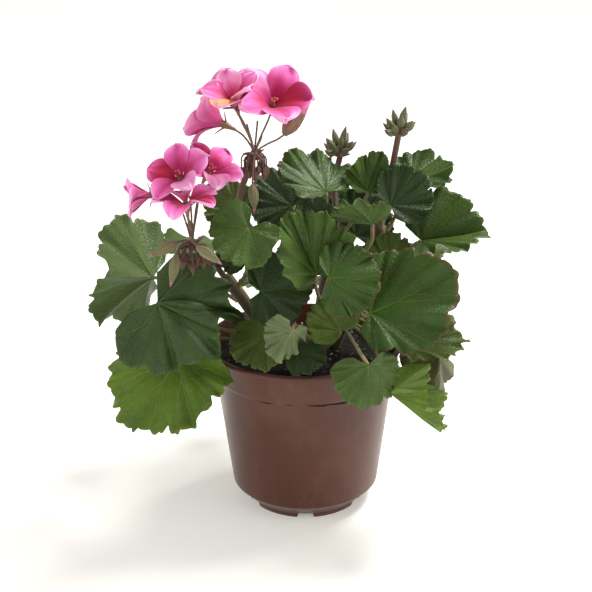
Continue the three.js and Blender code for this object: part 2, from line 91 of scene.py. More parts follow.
class Value:
    """A number socket. Sums on it add Math nodes to its material."""

    def __init__(self, bench: "NodeBench", socket: bpy.types.NodeSocket) -> None:
        """Wraps a socket of the bench's material."""
        self.bench = bench
        self.socket = socket

    def _sum(self, operation: str, *terms: Any) -> "Value":
        """The result of one Math node.

        Args:
            operation: the Math node's operation.
            terms: numbers or values, in the node's order.

        Returns:
            The node's result.
        """
        node = self.bench.node("ShaderNodeMath", {"operation": operation}, dict(enumerate(terms)))
        return Value(self.bench, node.outputs[0])

    def __add__(self, other: Any) -> "Value":
        """self + other."""
        return self._sum("ADD", self, other)

    __radd__ = __add__

    def __sub__(self, other: Any) -> "Value":
        """self - other."""
        return self._sum("SUBTRACT", self, other)

    def __rsub__(self, other: Any) -> "Value":
        """other - self."""
        return self._sum("SUBTRACT", other, self)

    def __mul__(self, other: Any) -> "Value":
        """self * other."""
        return self._sum("MULTIPLY", self, other)

    __rmul__ = __mul__

    def __truediv__(self, other: Any) -> "Value":
        """self / other."""
        return self._sum("DIVIDE", self, other)

    def __pow__(self, other: Any) -> "Value":
        """self to the power other."""
        return self._sum("POWER", self, other)

    def __abs__(self) -> "Value":
        """The size of self."""
        return self._sum("ABSOLUTE", self)

    def fraction(self) -> "Value":
        """What is left of self above the whole number below it."""
        return self._sum("FRACT", self)

    def sine(self) -> "Value":
        """The sine of self, in radians."""
        return self._sum("SINE", self)

    def most(self, other: Any) -> "Value":
        """The larger of self and other."""
        return self._sum("MAXIMUM", self, other)

    def rises(self, low: float, high: float) -> "Value":
        """A soft step: 0 below low, 1 above high."""
        node = self.bench.node(
            "ShaderNodeMapRange",
            {"interpolation_type": "SMOOTHSTEP"},
            {"Value": self, "From Min": low, "From Max": high},
        )
        return Value(self.bench, node.outputs[0])

    def falls(self, low: float, high: float) -> "Value":
        """A soft step: 1 below low, 0 above high."""
        return 1 - self.rises(low, high)


class NodeBench:
    """Builds one material's nodes."""

    def __init__(self, name: str) -> None:
        """Starts an empty material of that name."""
        self.material = bpy.data.materials.new(name)
        self.material.use_nodes = True
        self.tree = self.material.node_tree
        self.tree.nodes.clear()

    def node(
        self,
        kind: str,
        settings: dict[str, Any] | None = None,
        inputs: dict[str | int, Any] | None = None,
    ) -> bpy.types.Node:
        """One node.

        Args:
            kind: the node's type.
            settings: its settings, which are set first.
            inputs: a value, colour or link for each socket named or numbered.

        Returns:
            The node.
        """
        made = self.tree.nodes.new(kind)
        for name, choice in (settings or {}).items():
            setattr(made, name, choice)
        for key, given in (inputs or {}).items():
            source = given.socket if isinstance(given, Value) else given
            if isinstance(source, bpy.types.NodeSocket):
                self.tree.links.new(source, made.inputs[key])
            else:
                made.inputs[key].default_value = source
        return made

    def place(self) -> bpy.types.NodeSocket:
        """The point on the object, in metres."""
        return self.node("ShaderNodeTexCoord").outputs["Object"]

    def surface(self) -> tuple[Value, Value]:
        """The piece's own two surface coordinates."""
        source = self.node("ShaderNodeTexCoord").outputs["UV"]
        parts = self.node("ShaderNodeSeparateXYZ", inputs={"Vector": source})
        return Value(self, parts.outputs[0]), Value(self, parts.outputs[1])

    def scaled(self, point: bpy.types.NodeSocket, scale: Sequence[float]) -> bpy.types.NodeSocket:
        """A point with each of its three coordinates scaled."""
        node = self.node("ShaderNodeMapping", {"vector_type": "POINT"}, {"Vector": point, "Scale": scale})
        return node.outputs[0]

    def noise(self, point: bpy.types.NodeSocket, scale: float, detail: float = 3, rough: float = 0.5) -> Value:
        """Cloudy noise, about 0 to 1.

        Args:
            point: where it is read.
            scale: clouds to the metre.
            detail: how many finer layers it has.
            rough: how strong the finer layers are.

        Returns:
            The noise.
        """
        node = self.node(
            "ShaderNodeTexNoise", {}, {"Vector": point, "Scale": scale, "Detail": detail, "Roughness": rough}
        )
        return Value(self, node.outputs[0])

    def cells(self, point: bpy.types.NodeSocket, scale: float, feature: str = "DISTANCE_TO_EDGE") -> Value:
        """A pattern of cells: the distance to the nearest edge, or another feature of them."""
        node = self.node("ShaderNodeTexVoronoi", {"feature": feature}, {"Vector": point, "Scale": scale})
        return Value(self, node.outputs["Distance"])

    def blend(self, share: Any, first: Any, second: Any, mode: str = "MIX") -> bpy.types.NodeSocket:
        """A colour between two.

        Args:
            share: 0 gives first and 1 gives second.
            first: a colour or a colour socket.
            second: a colour or a colour socket.
            mode: how they mix.

        Returns:
            The mixed colour.
        """
        node = self.node(
            "ShaderNodeMix", {"data_type": "RGBA", "blend_type": mode}, {0: share, 6: first, 7: second}
        )
        return node.outputs[2]

    def bump(self, height: Any, depth: float, strength: float = 1.0) -> bpy.types.NodeSocket:
        """A normal from a height.

        Args:
            height: 0 to 1.
            depth: how many metres a height of 1 stands for.
            strength: 0 to 1.

        Returns:
            The normal.
        """
        node = self.node("ShaderNodeBump", {}, {"Height": height, "Distance": depth, "Strength": strength})
        return node.outputs[0]

    def finish(self, inputs: dict[str | int, Any]) -> bpy.types.Material:
        """Ends the material in one Principled shader.

        Args:
            inputs: the shader's sockets.

        Returns:
            The material.
        """
        shader = self.node("ShaderNodeBsdfPrincipled", {}, inputs)
        self.node("ShaderNodeOutputMaterial", {}, {"Surface": shader.outputs[0]})
        return self.material


# ---------------------------------------------------------------- finishes


@dataclass(frozen=True)
class LeafFinish:
    """The upper or lower side of a leaf: veins, a faint zone and a coloured margin on mottled green."""

    name: str
    body: Colour
    shade: Colour
    vein: Colour
    edge: Colour
    edging: float = 0.25
    zone: float = 0.12
    vein_strength: float = 0.54
    relief: float = 1.0

    def veins(self, bench: NodeBench, around: Value, out: Value) -> Value:
        """The main veins and their forks.

        Args:
            bench: the material's bench.
            around: 0 to 1 round the blade, with a vein in the middle of each fifth.
            out: 0 at the petiole and 1 at the margin.

        Returns:
            1 on a vein and 0 off it.
        """
        wander = bench.noise(bench.place(), 60, 2) - 0.5
        local = (around * Blade.LOBES + wander * 0.07).fraction() - 0.5
        side = abs(local) * out
        taper = 1.25 - out
        found = (side / taper).falls(0.004, 0.013)
        shift = local.rises(-0.01, 0.01) * 0.07
        for start, slope in ((0.24, 0.40), (0.42, 0.46), (0.60, 0.52), (0.76, 0.6)):
            reach = out - start - shift
            fork = (abs(side - reach * slope) / taper).falls(0.002, 0.009) * reach.rises(0, 0.03)
            found = found.most(fork * 0.7)
        return found

    def make(self) -> bpy.types.Material:
        """Builds the material."""
        bench = NodeBench(self.name)
        around, out = bench.surface()
        point = bench.place()
        veins = self.veins(bench, around, out)
        mottle = bench.noise(point, 55, 4, 0.6)
        colour = bench.blend(mottle.rises(0.3, 0.7), self.shade, self.body)
        zone = out.rises(0.35, 0.55) * out.falls(0.6, 0.78) * self.zone
        colour = bench.blend(zone, colour, paint(52, 46, 22))
        net = bench.cells(point, 420)
        colour = bench.blend(net.falls(0.0, 0.09) * (0.22 * self.vein_strength), colour, self.vein)
        colour = bench.blend(veins * self.vein_strength, colour, self.vein)
        speckle = bench.noise(point, 1500, 2)
        colour = bench.blend(speckle.rises(0.5, 0.75) * 0.05, colour, self.vein)
        ragged = out + (bench.noise(point, 160, 3) - 0.5) * 0.08
        colour = bench.blend(ragged.rises(0.93, 1.0) * self.edging, colour, self.edge)
        height = net.rises(0.0, 0.25) * 0.35 + speckle * 0.12 - veins
        return bench.finish({
            "Base Color": colour,
            "Roughness": 0.38 + speckle * 0.14,
            "Normal": bench.bump(height, 0.0005 * self.relief, 0.8),
            "Specular IOR Level": 0.3,
        })


@dataclass(frozen=True)
class StalkFinish:
    """Downy green or red-brown skin along a stem, petiole or flower stalk."""

    name: str
    young: Colour
    ripe: Colour
    ripeness: float = 0.5

    def make(self) -> bpy.types.Material:
        """Builds the material."""
        bench = NodeBench(self.name)
        point = bench.place()
        streak = bench.noise(bench.scaled(point, (1, 1, 0.15)), 500, 3)
        cloud = bench.noise(point, 60, 3)
        share = (cloud + streak * 0.5 - 0.25).rises(0.75 - self.ripeness, 1.05 - self.ripeness)
        down = bench.noise(point, 2500, 2)
        colour = bench.blend(share, self.young, self.ripe)
        colour = bench.blend(down.rises(0.55, 0.75) * 0.25, colour, paint(196, 190, 160))
        return bench.finish({
            "Base Color": colour,
            "Roughness": 0.5 + down * 0.2,
            "Normal": bench.bump(streak * 0.5 + down * 0.5, 0.0003, 0.7),
            "Sheen Weight": 0.2,
            "Sheen Roughness": 0.5,
        })


@dataclass(frozen=True)
class PetalFinish:
    """A soft petal: a dark heart, veins that fan out of it, and a paler margin."""

    name: str
    body: Colour
    pale: Colour
    heart: Colour
    heart_reach: float = 0.45

    def make(self) -> bpy.types.Material:
        """Builds the material."""
        bench = NodeBench(self.name)
        across, out = bench.surface()
        point = bench.place()
        cloud = bench.noise(point, 120, 3)
        wander = (bench.noise(point, 260, 2) - 0.5) * 0.5
        stripe = ((across - 0.5) * 60 + wander * 3).sine()
        veins = stripe.rises(0.55, 0.95) * out.falls(0.55, 0.95)
        spread = out + abs(across - 0.5) * 0.35 + (cloud - 0.5) * 0.3
        heart = spread.falls(self.heart_reach * 0.45, self.heart_reach * 1.35)
        margin = (out + abs(across - 0.5) * 0.6 + (cloud - 0.5) * 0.2).rises(0.62, 1.1)
        colour = bench.blend(margin * 0.85, self.body, self.pale)
        colour = bench.blend(heart, colour, self.heart)
        colour = bench.blend(veins * 0.16, colour, self.heart)
        fine = bench.noise(bench.scaled(point, (1, 1, 1)), 1800, 2)
        return bench.finish({
            "Base Color": colour,
            "Roughness": 0.55 + fine * 0.1,
            "Normal": bench.bump(stripe * 0.1 + fine * 0.2 + cloud, 0.00035, 0.5),
            "Sheen Weight": 0.25,
            "Sheen Roughness": 0.4,
            "Specular IOR Level": 0.3,
        })


@dataclass(frozen=True)
class BudFinish:
    """A hairy green bud whose tip shows the folded petals."""

    name: str
    skin: Colour
    blush: Colour
    tip: Colour
    tip_from: float = 0.75

    def make(self) -> bpy.types.Material:
        """Builds the material."""
        bench = NodeBench(self.name)
        around, out = bench.surface()
        point = bench.place()
        streak = (around * 2 * math.pi * 15).sine()
        cloud = bench.noise(point, 400, 3)
        colour = bench.blend((cloud + streak * 0.15).rises(0.35, 0.75), self.skin, self.blush)
        edge = out + (cloud - 0.5) * 0.15
        colour = bench.blend(edge.rises(self.tip_from - 0.05, self.tip_from + 0.05), colour, self.tip)
        down = bench.noise(point, 3000, 2)
        colour = bench.blend(down.rises(0.55, 0.75) * 0.25, colour, paint(205, 200, 175))
        return bench.finish({
            "Base Color": colour,
            "Roughness": 0.55 + down * 0.15,
            "Normal": bench.bump(streak * 0.4 + down * 0.4, 0.0004, 0.8),
            "Sheen Weight": 0.25,
            "Sheen Roughness": 0.5,
        })


@dataclass(frozen=True)
class PotFinish:
    """Thin brown plastic with a soft gloss, dust and dried water marks."""

    name: str = "pot_plastic"
    body: Colour = paint(84, 42, 28)
    dark: Colour = paint(70, 35, 23)
    dust: Colour = paint(132, 100, 80)

    def make(self) -> bpy.types.Material:
        """Builds the material."""
        bench = NodeBench(self.name)
        point = bench.place()
        cloud = bench.noise(point, 22, 4, 0.6)
        runs = bench.noise(bench.scaled(point, (1, 1, 0.12)), 180, 4, 0.65)
        haze = bench.noise(bench.scaled(point, (1, 1, 0.5)), 70, 5, 0.7)
        film = runs.rises(0.5, 0.85) * 0.12 + cloud.rises(0.45, 0.8) * 0.12 + haze.rises(0.5, 0.8) * 0.14
        fine = bench.noise(point, 3500, 2)
        colour = bench.blend(cloud, self.dark, self.body)
        colour = bench.blend(film, colour, self.dust)
        return bench.finish({
            "Base Color": colour,
            "Roughness": 0.27 + film * 0.8 + fine * 0.05,
            "Normal": bench.bump(fine * 0.15 + cloud * 0.8 + runs * 0.15, 0.0005, 0.5),
            "Specular IOR Level": 0.34,
        })


@dataclass(frozen=True)
class SoilFinish:
    """Dark crumbly peat, or a fleck in it."""

    name: str
    body: Colour
    pale: Colour
    pale_share: float = 0.3

    def make(self) -> bpy.types.Material:
        """Builds the material."""
        bench = NodeBench(self.name)
        point = bench.place()
        crumbs = bench.noise(point, 420, 4, 0.65)
        grit = bench.noise(point, 1600, 3)
        colour = bench.blend(crumbs.rises(0.75 - self.pale_share, 0.95 - self.pale_share * 0.5), self.body, self.pale)
        return bench.finish({
            "Base Color": colour,
            "Roughness": 0.88 + grit * 0.1,
            "Normal": bench.bump(crumbs + grit * 0.4, 0.0012, 0.9),
            "Specular IOR Level": 0.2,
        })


@dataclass(frozen=True)
class FloorFinish:
    """A plain pale floor with the faintest mottle. It glows, which is painted light: the glow is dimmer near the
    plant, so that its cast shadow stays, and brighter far off.
    """

    name: str = "studio_floor"
    body: Colour = paint(240, 239, 234)
    near_glow: Colour = paint(178, 177, 173)

    def make(self) -> bpy.types.Material:
        """Builds the material."""
        bench = NodeBench(self.name)
        point = bench.place()
        cloud = bench.noise(point, 2, 2)
        colour = bench.blend(cloud * 0.1, self.body, paint(230, 229, 224))
        # painted light: the floor's own glow, dimmer round the plant and brighter far away
        ball = bench.node(
            "ShaderNodeTexGradient", {"gradient_type": "SPHERICAL"}, {"Vector": bench.scaled(point, (0.3, 0.3, 0.3))}
        )
        near = Value(bench, ball.outputs["Fac"]).rises(0.35, 0.8)
        return bench.finish({
            "Base Color": colour,
            "Roughness": 0.8,
            "Specular IOR Level": 0.2,
            "Emission Color": bench.blend(near, self.body, self.near_glow),
            "Emission Strength": 0.62,
        })


def both_sides(
    name: str, body: tuple[int, int, int], vein: tuple[int, int, int], edge: tuple[int, int, int], **choices: float
) -> tuple[LeafFinish, LeafFinish]:
    """The finishes of a leaf's upper and lower sides.

    Args:
        name: the tone's name.
        body: the upper side's main green.
        vein: its veins.
        edge: its margin.
        choices: other fields of the upper side's finish.

    Returns:
        The upper finish and a paler, duller lower one.
    """
    shade = tuple(round(part * 0.82) for part in body)
    under = tuple(round(part * 0.8 + 34) for part in body)
    lower = tuple(round(part * 0.78 + 26) for part in body)
    upper_side = LeafFinish(f"{name}_upper", paint(*body), paint(*shade), paint(*vein), paint(*edge), **choices)
    under_side = LeafFinish(
        f"{name}_lower", paint(*under), paint(*lower), paint(*(part + 18 for part in under)), paint(*edge),
        edging=0.15, zone=0.0, vein_strength=0.5, relief=-1.2,
    )
    return upper_side, under_side


class LeafTone(Enum):
    """The greens that the leaves come in. Some are lit and shaded copies of one green: the brightest is painted
    light, the darkest is painted shade, and the grey one holds a painted sheen.
    """

    # painted light: a brighter, yellower green for leaves that face up into the light
    LIT = both_sides("leaf_painted_lit", (92, 122, 26), (142, 162, 82), (108, 110, 44), zone=0.05)
    # painted sheen: a greyer, bluer green that stands for the soft reflection on the leaves at the left
    GREY = both_sides("leaf_grey", (56, 80, 34), (108, 126, 76), (82, 86, 48), zone=0.06)
    MID = both_sides("leaf_mid", (62, 90, 25), (112, 130, 64), (96, 92, 44))
    DEEP = both_sides("leaf_deep", (50, 82, 16), (96, 120, 46), (92, 56, 34), edging=0.75, zone=0.22)
    # painted shade: a dark copy of the green for leaves that sit in the shadow of other leaves
    SHADOWED = both_sides("leaf_painted_shade", (33, 58, 14), (74, 98, 42), (58, 66, 28))
    OLIVE = both_sides("leaf_olive", (74, 94, 28), (118, 130, 68), (100, 88, 44), edging=0.35)
    YELLOW = both_sides("leaf_yellow", (92, 116, 38), (136, 150, 84), (112, 104, 54))
    PALE = both_sides("leaf_pale", (104, 120, 76), (146, 156, 116), (122, 118, 84), vein_strength=0.7)
    DRIED = both_sides("leaf_dried", (78, 80, 40), (112, 108, 68), (98, 72, 44), edging=0.8)


class Shelf:
    """Keeps each finished material, so that a finish is built once."""

    made: dict[str, bpy.types.Material] = {}

    @classmethod
    def take(cls, finish: Any) -> bpy.types.Material:
        """The material of a finish, built the first time that it is asked for."""
        if finish.name not in cls.made:
            cls.made[finish.name] = finish.make()
        return cls.made[finish.name]


PETIOLE = StalkFinish("petiole_skin", paint(120, 132, 66), paint(126, 98, 66), 0.42)
STEM = StalkFinish("stem_skin", paint(96, 106, 56), paint(92, 74, 50), 0.55)
FLOWER_STALK = StalkFinish("flower_stalk_skin", paint(104, 92, 66), paint(92, 58, 48), 0.6)
CALYX = StalkFinish("calyx_skin", paint(112, 108, 62), paint(122, 70, 58), 0.5)
DRIED_BRACT = StalkFinish("dried_bract_skin", paint(92, 76, 46), paint(84, 48, 34), 0.6)
ANTHER = StalkFinish("anther_skin", paint(206, 120, 96), paint(196, 84, 110), 0.5)
GREEN_BUD = BudFinish("green_bud", paint(96, 108, 58), paint(110, 92, 62), paint(120, 96, 70), 0.97)
PINK_BUD = BudFinish("pink_tipped_bud", paint(98, 112, 56), paint(128, 98, 70), paint(208, 112, 130), 0.86)
OPENING_BUD = BudFinish("opening_bud", paint(112, 92, 66), paint(150, 92, 84), paint(222, 110, 150), 0.66)
SOIL = SoilFinish("potting_soil", paint(26, 24, 22), paint(74, 62, 50), 0.25)
PERLITE = SoilFinish("perlite", paint(128, 118, 104), paint(168, 160, 146), 0.4)
FIBRE = SoilFinish("peat_fibre", paint(70, 52, 38), paint(120, 98, 72), 0.4)


class PetalTone(Enum):
    """The pinks that the petals come in."""

    ROSE = PetalFinish("petal_rose", paint(236, 106, 184), paint(253, 184, 234), paint(176, 10, 84), 0.52)
    CRIMSON = PetalFinish("petal_crimson", paint(234, 84, 168), paint(252, 166, 226), paint(170, 4, 58), 0.8)
    BLUSH = PetalFinish("petal_blush", paint(240, 148, 204), paint(252, 204, 238), paint(204, 58, 134), 0.4)
    REVERSE = PetalFinish("petal_reverse", paint(224, 124, 182), paint(242, 170, 214), paint(192, 72, 130), 0.55)
    FADED = PetalFinish("petal_faded", paint(236, 140, 160), paint(242, 178, 190), paint(232, 150, 72), 0.95)


# ---------------------------------------------------------------- shared shapes


def merged(node: str) -> bmesh.types.BMesh:
    """A copy of a CAD node's mesh, with its loose triangles joined."""
    shape = bmesh.new()
    shape.from_mesh(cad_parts[node].data)
    bmesh.ops.remove_doubles(shape, verts=shape.verts, dist=WELD)
    shape.normal_update()
    return shape


def unit(arrow: np.ndarray) -> np.ndarray:
    """Arrows of length one, in the same directions."""
    return arrow / np.maximum(np.linalg.norm(arrow, axis=-1, keepdims=True), 1e-12)


def spline(points: np.ndarray, where: np.ndarray, closed: bool = False) -> np.ndarray:
    """Points on a smooth curve.

    Args:
        points: what it passes through.
        where: places on it, counted in points from the first.
        closed: whether it comes back to its first point.

    Returns:
        One point for each place.
    """
    if closed:
        first = np.floor(where).astype(int)
        corners = [points[(first + step) % len(points)] for step in (-1, 0, 1, 2)]
    else:
        padded = np.vstack([2 * points[0] - points[1], points, 2 * points[-1] - points[-2]])
        first = np.clip(np.floor(where).astype(int), 0, len(points) - 2)
        corners = [padded[first + step] for step in (0, 1, 2, 3)]
    t = (where - first)[..., None]
    a, b, c, d = corners
    return 0.5 * (2 * b + (c - a) * t + (2 * a - 5 * b + 4 * c - d) * t**2 + (3 * b - a - 3 * c + d) * t**3)


def woven(shape: bmesh.types.BMesh, spots: np.ndarray, material: int = 0) -> list[bmesh.types.BMVert]:
    """Adds a grid of faces with its corners at given places.

    Args:
        shape: what it is added to.
        spots: a place for each corner, in rows.
        material: the faces' material number.

    Returns:
        The corners. The grid's UV map runs from 0 to 1 both ways.
    """
    rows, columns = spots.shape[0] - 1, spots.shape[1] - 1
    grid = bmesh.ops.create_grid(shape, x_segments=rows, y_segments=columns, size=0.5)["verts"]
    layer = shape.loops.layers.uv.verify()
    faces = {face for corner in grid for face in corner.link_faces}
    for face in faces:
        face.material_index = material
        face.smooth = True
        for loop in face.loops:
            loop[layer].uv = (loop.vert.co.x + 0.5, loop.vert.co.y + 0.5)
    for corner in grid:
        row, column = round((corner.co.x + 0.5) * rows), round((corner.co.y + 0.5) * columns)
        corner.co = spots[row, column]
    return grid


def tube(
    shape: bmesh.types.BMesh,
    points: np.ndarray,
    radii: Sequence[float],
    sides: int = 12,
    steps: int = 24,
    ribs: tuple[int, float] = (0, 0.0),
    material: int = 0,
) -> None:
    """Adds a round closed bar along a smooth curve.

    Args:
        shape: what it is added to.
        points: the middle line.
        radii: radii spread evenly along it.
        sides: corners round it.
        steps: rings along it.
        ribs: how many ribs run along it, and their height as a share of the radius.
        material: the faces' material number.
    """
    line = spline(np.asarray(points, float), np.linspace(0, len(points) - 1, steps + 1))
    thick = np.interp(np.linspace(0, 1, steps + 1), np.linspace(0, 1, len(radii)), radii)
    heading = unit(np.gradient(line, axis=0))
    side = unit(np.cross(heading[0], [0.31, 0.87, 0.38]))
    angle = np.linspace(0, 2 * np.pi, sides + 1)
    swell = 1 + ribs[1] * np.cos(ribs[0] * angle)
    spots = np.empty((sides + 1, steps + 1, 3))
    for step in range(steps + 1):
        side = unit(side - heading[step] * np.dot(side, heading[step]))
        other = np.cross(heading[step], side)
        reach = thick[step] * swell
        spots[:, step] = line[step] + np.outer(reach * np.cos(angle), side) + np.outer(reach * np.sin(angle), other)
    corners = woven(shape, spots, material)
    bmesh.ops.remove_doubles(shape, verts=corners, dist=WELD)
    kept = [corner for corner in corners if corner.is_valid]
    rims = {edge for corner in kept for edge in corner.link_edges if edge.is_boundary}
    caps = bmesh.ops.holes_fill(shape, edges=list(rims), sides=sides + 1)["faces"]
    for cap in caps:
        cap.material_index = material
    bmesh.ops.recalc_face_normals(shape, faces=list({f for corner in kept for f in corner.link_faces}))


def across_to(direction: np.ndarray, wanted: np.ndarray) -> np.ndarray:
    """The unit arrow square to direction that is nearest to wanted."""
    return unit(wanted - direction * np.dot(wanted, direction))


def placed(
    name: str,
    shape: bmesh.types.BMesh,
    finishes: Iterable[Any],
    stands_for: Iterable[str] = (),
) -> bpy.types.Object:
    """Turns a shape into a piece of the model.

    Args:
        name: the piece's name.
        shape: its mesh, which is used up.
        finishes: its finishes, in the order of their material numbers.
        stands_for: the CAD nodes that it replaces.

    Returns:
        The piece.
    """
    data = bpy.data.meshes.new(name)
    shape.to_mesh(data)
    shape.free()
    for finish in finishes:
        data.materials.append(Shelf.take(finish))
    data.polygons.foreach_set("use_smooth", [True] * len(data.polygons))
    piece = bpy.data.objects.new(name, data)
    bpy.context.scene.collection.objects.link(piece)
    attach(piece, "root")
    if stands_for:
        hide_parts(*stands_for)
    LOG.info("%s: %d faces", name, len(data.polygons))
    return piece


def face_towards(shape: bmesh.types.BMesh, direction: np.ndarray) -> None:
    """Turns a sheet's faces so that on the whole they look along a direction.

    Args:
        shape: the sheet.
        direction: where they are to look.
    """
    shape.normal_update()
    facing = sum((face.normal * face.calc_area() for face in shape.faces), Vector())
    if facing.dot(Vector(direction)) < 0:
        bmesh.ops.reverse_faces(shape, faces=shape.faces)


def thickened(piece: bpy.types.Object, thickness: float, other_side: int = 0) -> None:
    """Gives a sheet its thickness.

    Args:
        piece: the sheet.
        thickness: in metres.
        other_side: what to add to the material number on the other side.
    """
    wall = piece.modifiers.new("thickness", "SOLIDIFY")
    wall.thickness = thickness
    wall.offset = -1
    wall.material_offset = other_side
    wall.material_offset_rim = 0


# ---------------------------------------------------------------- pot and soil


@dataclass
class Pot:
    """The nursery pot. Its rim, height and base come from its CAD node."""

    wall: float = 1.2 * MM
    lip_overhang: float = 1.8 * MM
    lip_depth: float = 2.6 * MM
    collar_height: float = 20 * MM
    collar_step: float = 1.3 * MM
    collar_ramp: float = 1.6 * MM
    inner_ramp: float = 1.2 * MM
    collar_flare: float = 3 * MM
    base_radius: float = 49 * MM
    base_chamfer: float = 9 * MM
    foot_radius: float = 39 * MM
    foot_height: float = 3.5 * MM
    foot_width: float = 4 * MM
    pad_radius: float = 7 * MM
    notches: int = 6
    notch_width: float = 10 * MM
    steps: int = 216
    seam_turn: float = 28.0

    def profile(self) -> list[tuple[float, float]]:
        """Radius and height of each corner, from the pad under the base round to the floor inside."""
        low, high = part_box("pot")
        rim, top = high.x, high.z
        collar_z = top - self.collar_height
        collar_top = rim - self.lip_overhang
        collar = collar_top - self.collar_flare
        body = collar - self.collar_step
        chamfer_z = self.foot_height + self.base_chamfer
        floor = self.foot_height + self.wall
        slope = (body - self.base_radius) / (collar_z - chamfer_z)
        inner = self.foot_radius - self.foot_width
        return [
            (0, low.z), (self.pad_radius, low.z), (self.pad_radius + MM, self.foot_height),
            (inner, self.foot_height), (inner, low.z), (self.foot_radius, low.z),
            (self.foot_radius + MM, self.foot_height), (self.base_radius - 1.2 * MM, chamfer_z - 1.1 * MM),
            (self.base_radius, chamfer_z), (self.base_radius + slope * 4 * MM, chamfer_z + 4 * MM),
            (body - slope * 4 * MM, collar_z - 5 * MM), (body, collar_z - self.collar_ramp),
            (collar, collar_z), (collar + 0.4 * MM, collar_z + 1.4 * MM),
            (collar_top, top - self.lip_depth), (rim - 0.5 * MM, top - self.lip_depth),
            (rim, top - self.lip_depth + 0.6 * MM), (rim, top - 0.9 * MM), (rim - 0.9 * MM, top),
            (collar_top - self.wall + 0.4 * MM, top), (collar_top - self.wall, top - 0.8 * MM),
            (collar - self.wall, collar_z + self.wall), (body - self.wall, collar_z - self.inner_ramp),
            (self.base_radius - self.wall, chamfer_z), (self.foot_radius + MM, floor), (0, floor),
        ]

    def notched(self, shape: bmesh.types.BMesh) -> None:
        """Raises the foot ring's edge where the pot drains."""
        half = self.notch_width / 2 / self.foot_radius
        pitch = 2 * math.pi / self.notches
        for corner in shape.verts:
            reach = math.hypot(corner.co.x, corner.co.y)
            if corner.co.z > 0.5 * MM or reach < self.foot_radius - self.foot_width - MM:
                continue
            turn = math.atan2(corner.co.y, corner.co.x) % pitch - pitch / 2
            if abs(turn) < half:
                corner.co.z = self.foot_height - 0.5 * MM

    def seam(self, shape: bmesh.types.BMesh) -> None:
        """Adds the upright mould mark on the collar."""
        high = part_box("pot")[1]
        middle = high.z - self.collar_height / 2 - 0.6 * MM
        reach = high.x - self.lip_overhang - self.collar_flare / 2 - 0.1 * MM
        turn = math.radians(self.seam_turn - 90)
        lean = math.atan2(self.collar_flare, self.collar_height)
        place = Matrix.Rotation(turn, 4, "Z") @ Matrix.Translation((reach, 0, middle)) @ Matrix.Rotation(lean, 4, "Y")
        made = bmesh.ops.create_cube(
            shape, size=1, matrix=place @ Matrix.Diagonal((1.1 * MM, 1.3 * MM, self.collar_height - 4.4 * MM, 1))
        )
        edges = list({edge for corner in made["verts"] for edge in corner.link_edges})
        bmesh.ops.bevel(
            shape, geom=edges, offset=0.35 * MM, segments=2, profile=0.5, affect="EDGES", material=-1
        )

    def build(self) -> bpy.types.Object:
        """Builds and dresses the pot."""
        shape = bmesh.new()
        corners = [shape.verts.new((r, 0, z)) for r, z in self.profile()]
        edges = [shape.edges.new(pair) for pair in zip(corners, corners[1:])]
        bmesh.ops.spin(
            shape, geom=corners + edges, cent=(0, 0, 0), axis=(0, 0, 1), dvec=(0, 0, 0),
            angle=2 * math.pi, steps=self.steps, use_merge=True,
        )
        bmesh.ops.remove_doubles(shape, verts=shape.verts, dist=WELD)
        self.notched(shape)
        bmesh.ops.recalc_face_normals(shape, faces=shape.faces)
        self.seam(shape)
        piece = placed("nursery_pot", shape, [PotFinish()], ["pot"])
        edge = piece.modifiers.new("edges", "BEVEL")
        edge.width = 0.35 * MM
        edge.segments = 2
        edge.limit_method = "ANGLE"
        edge.angle_limit = math.radians(28)
        return piece


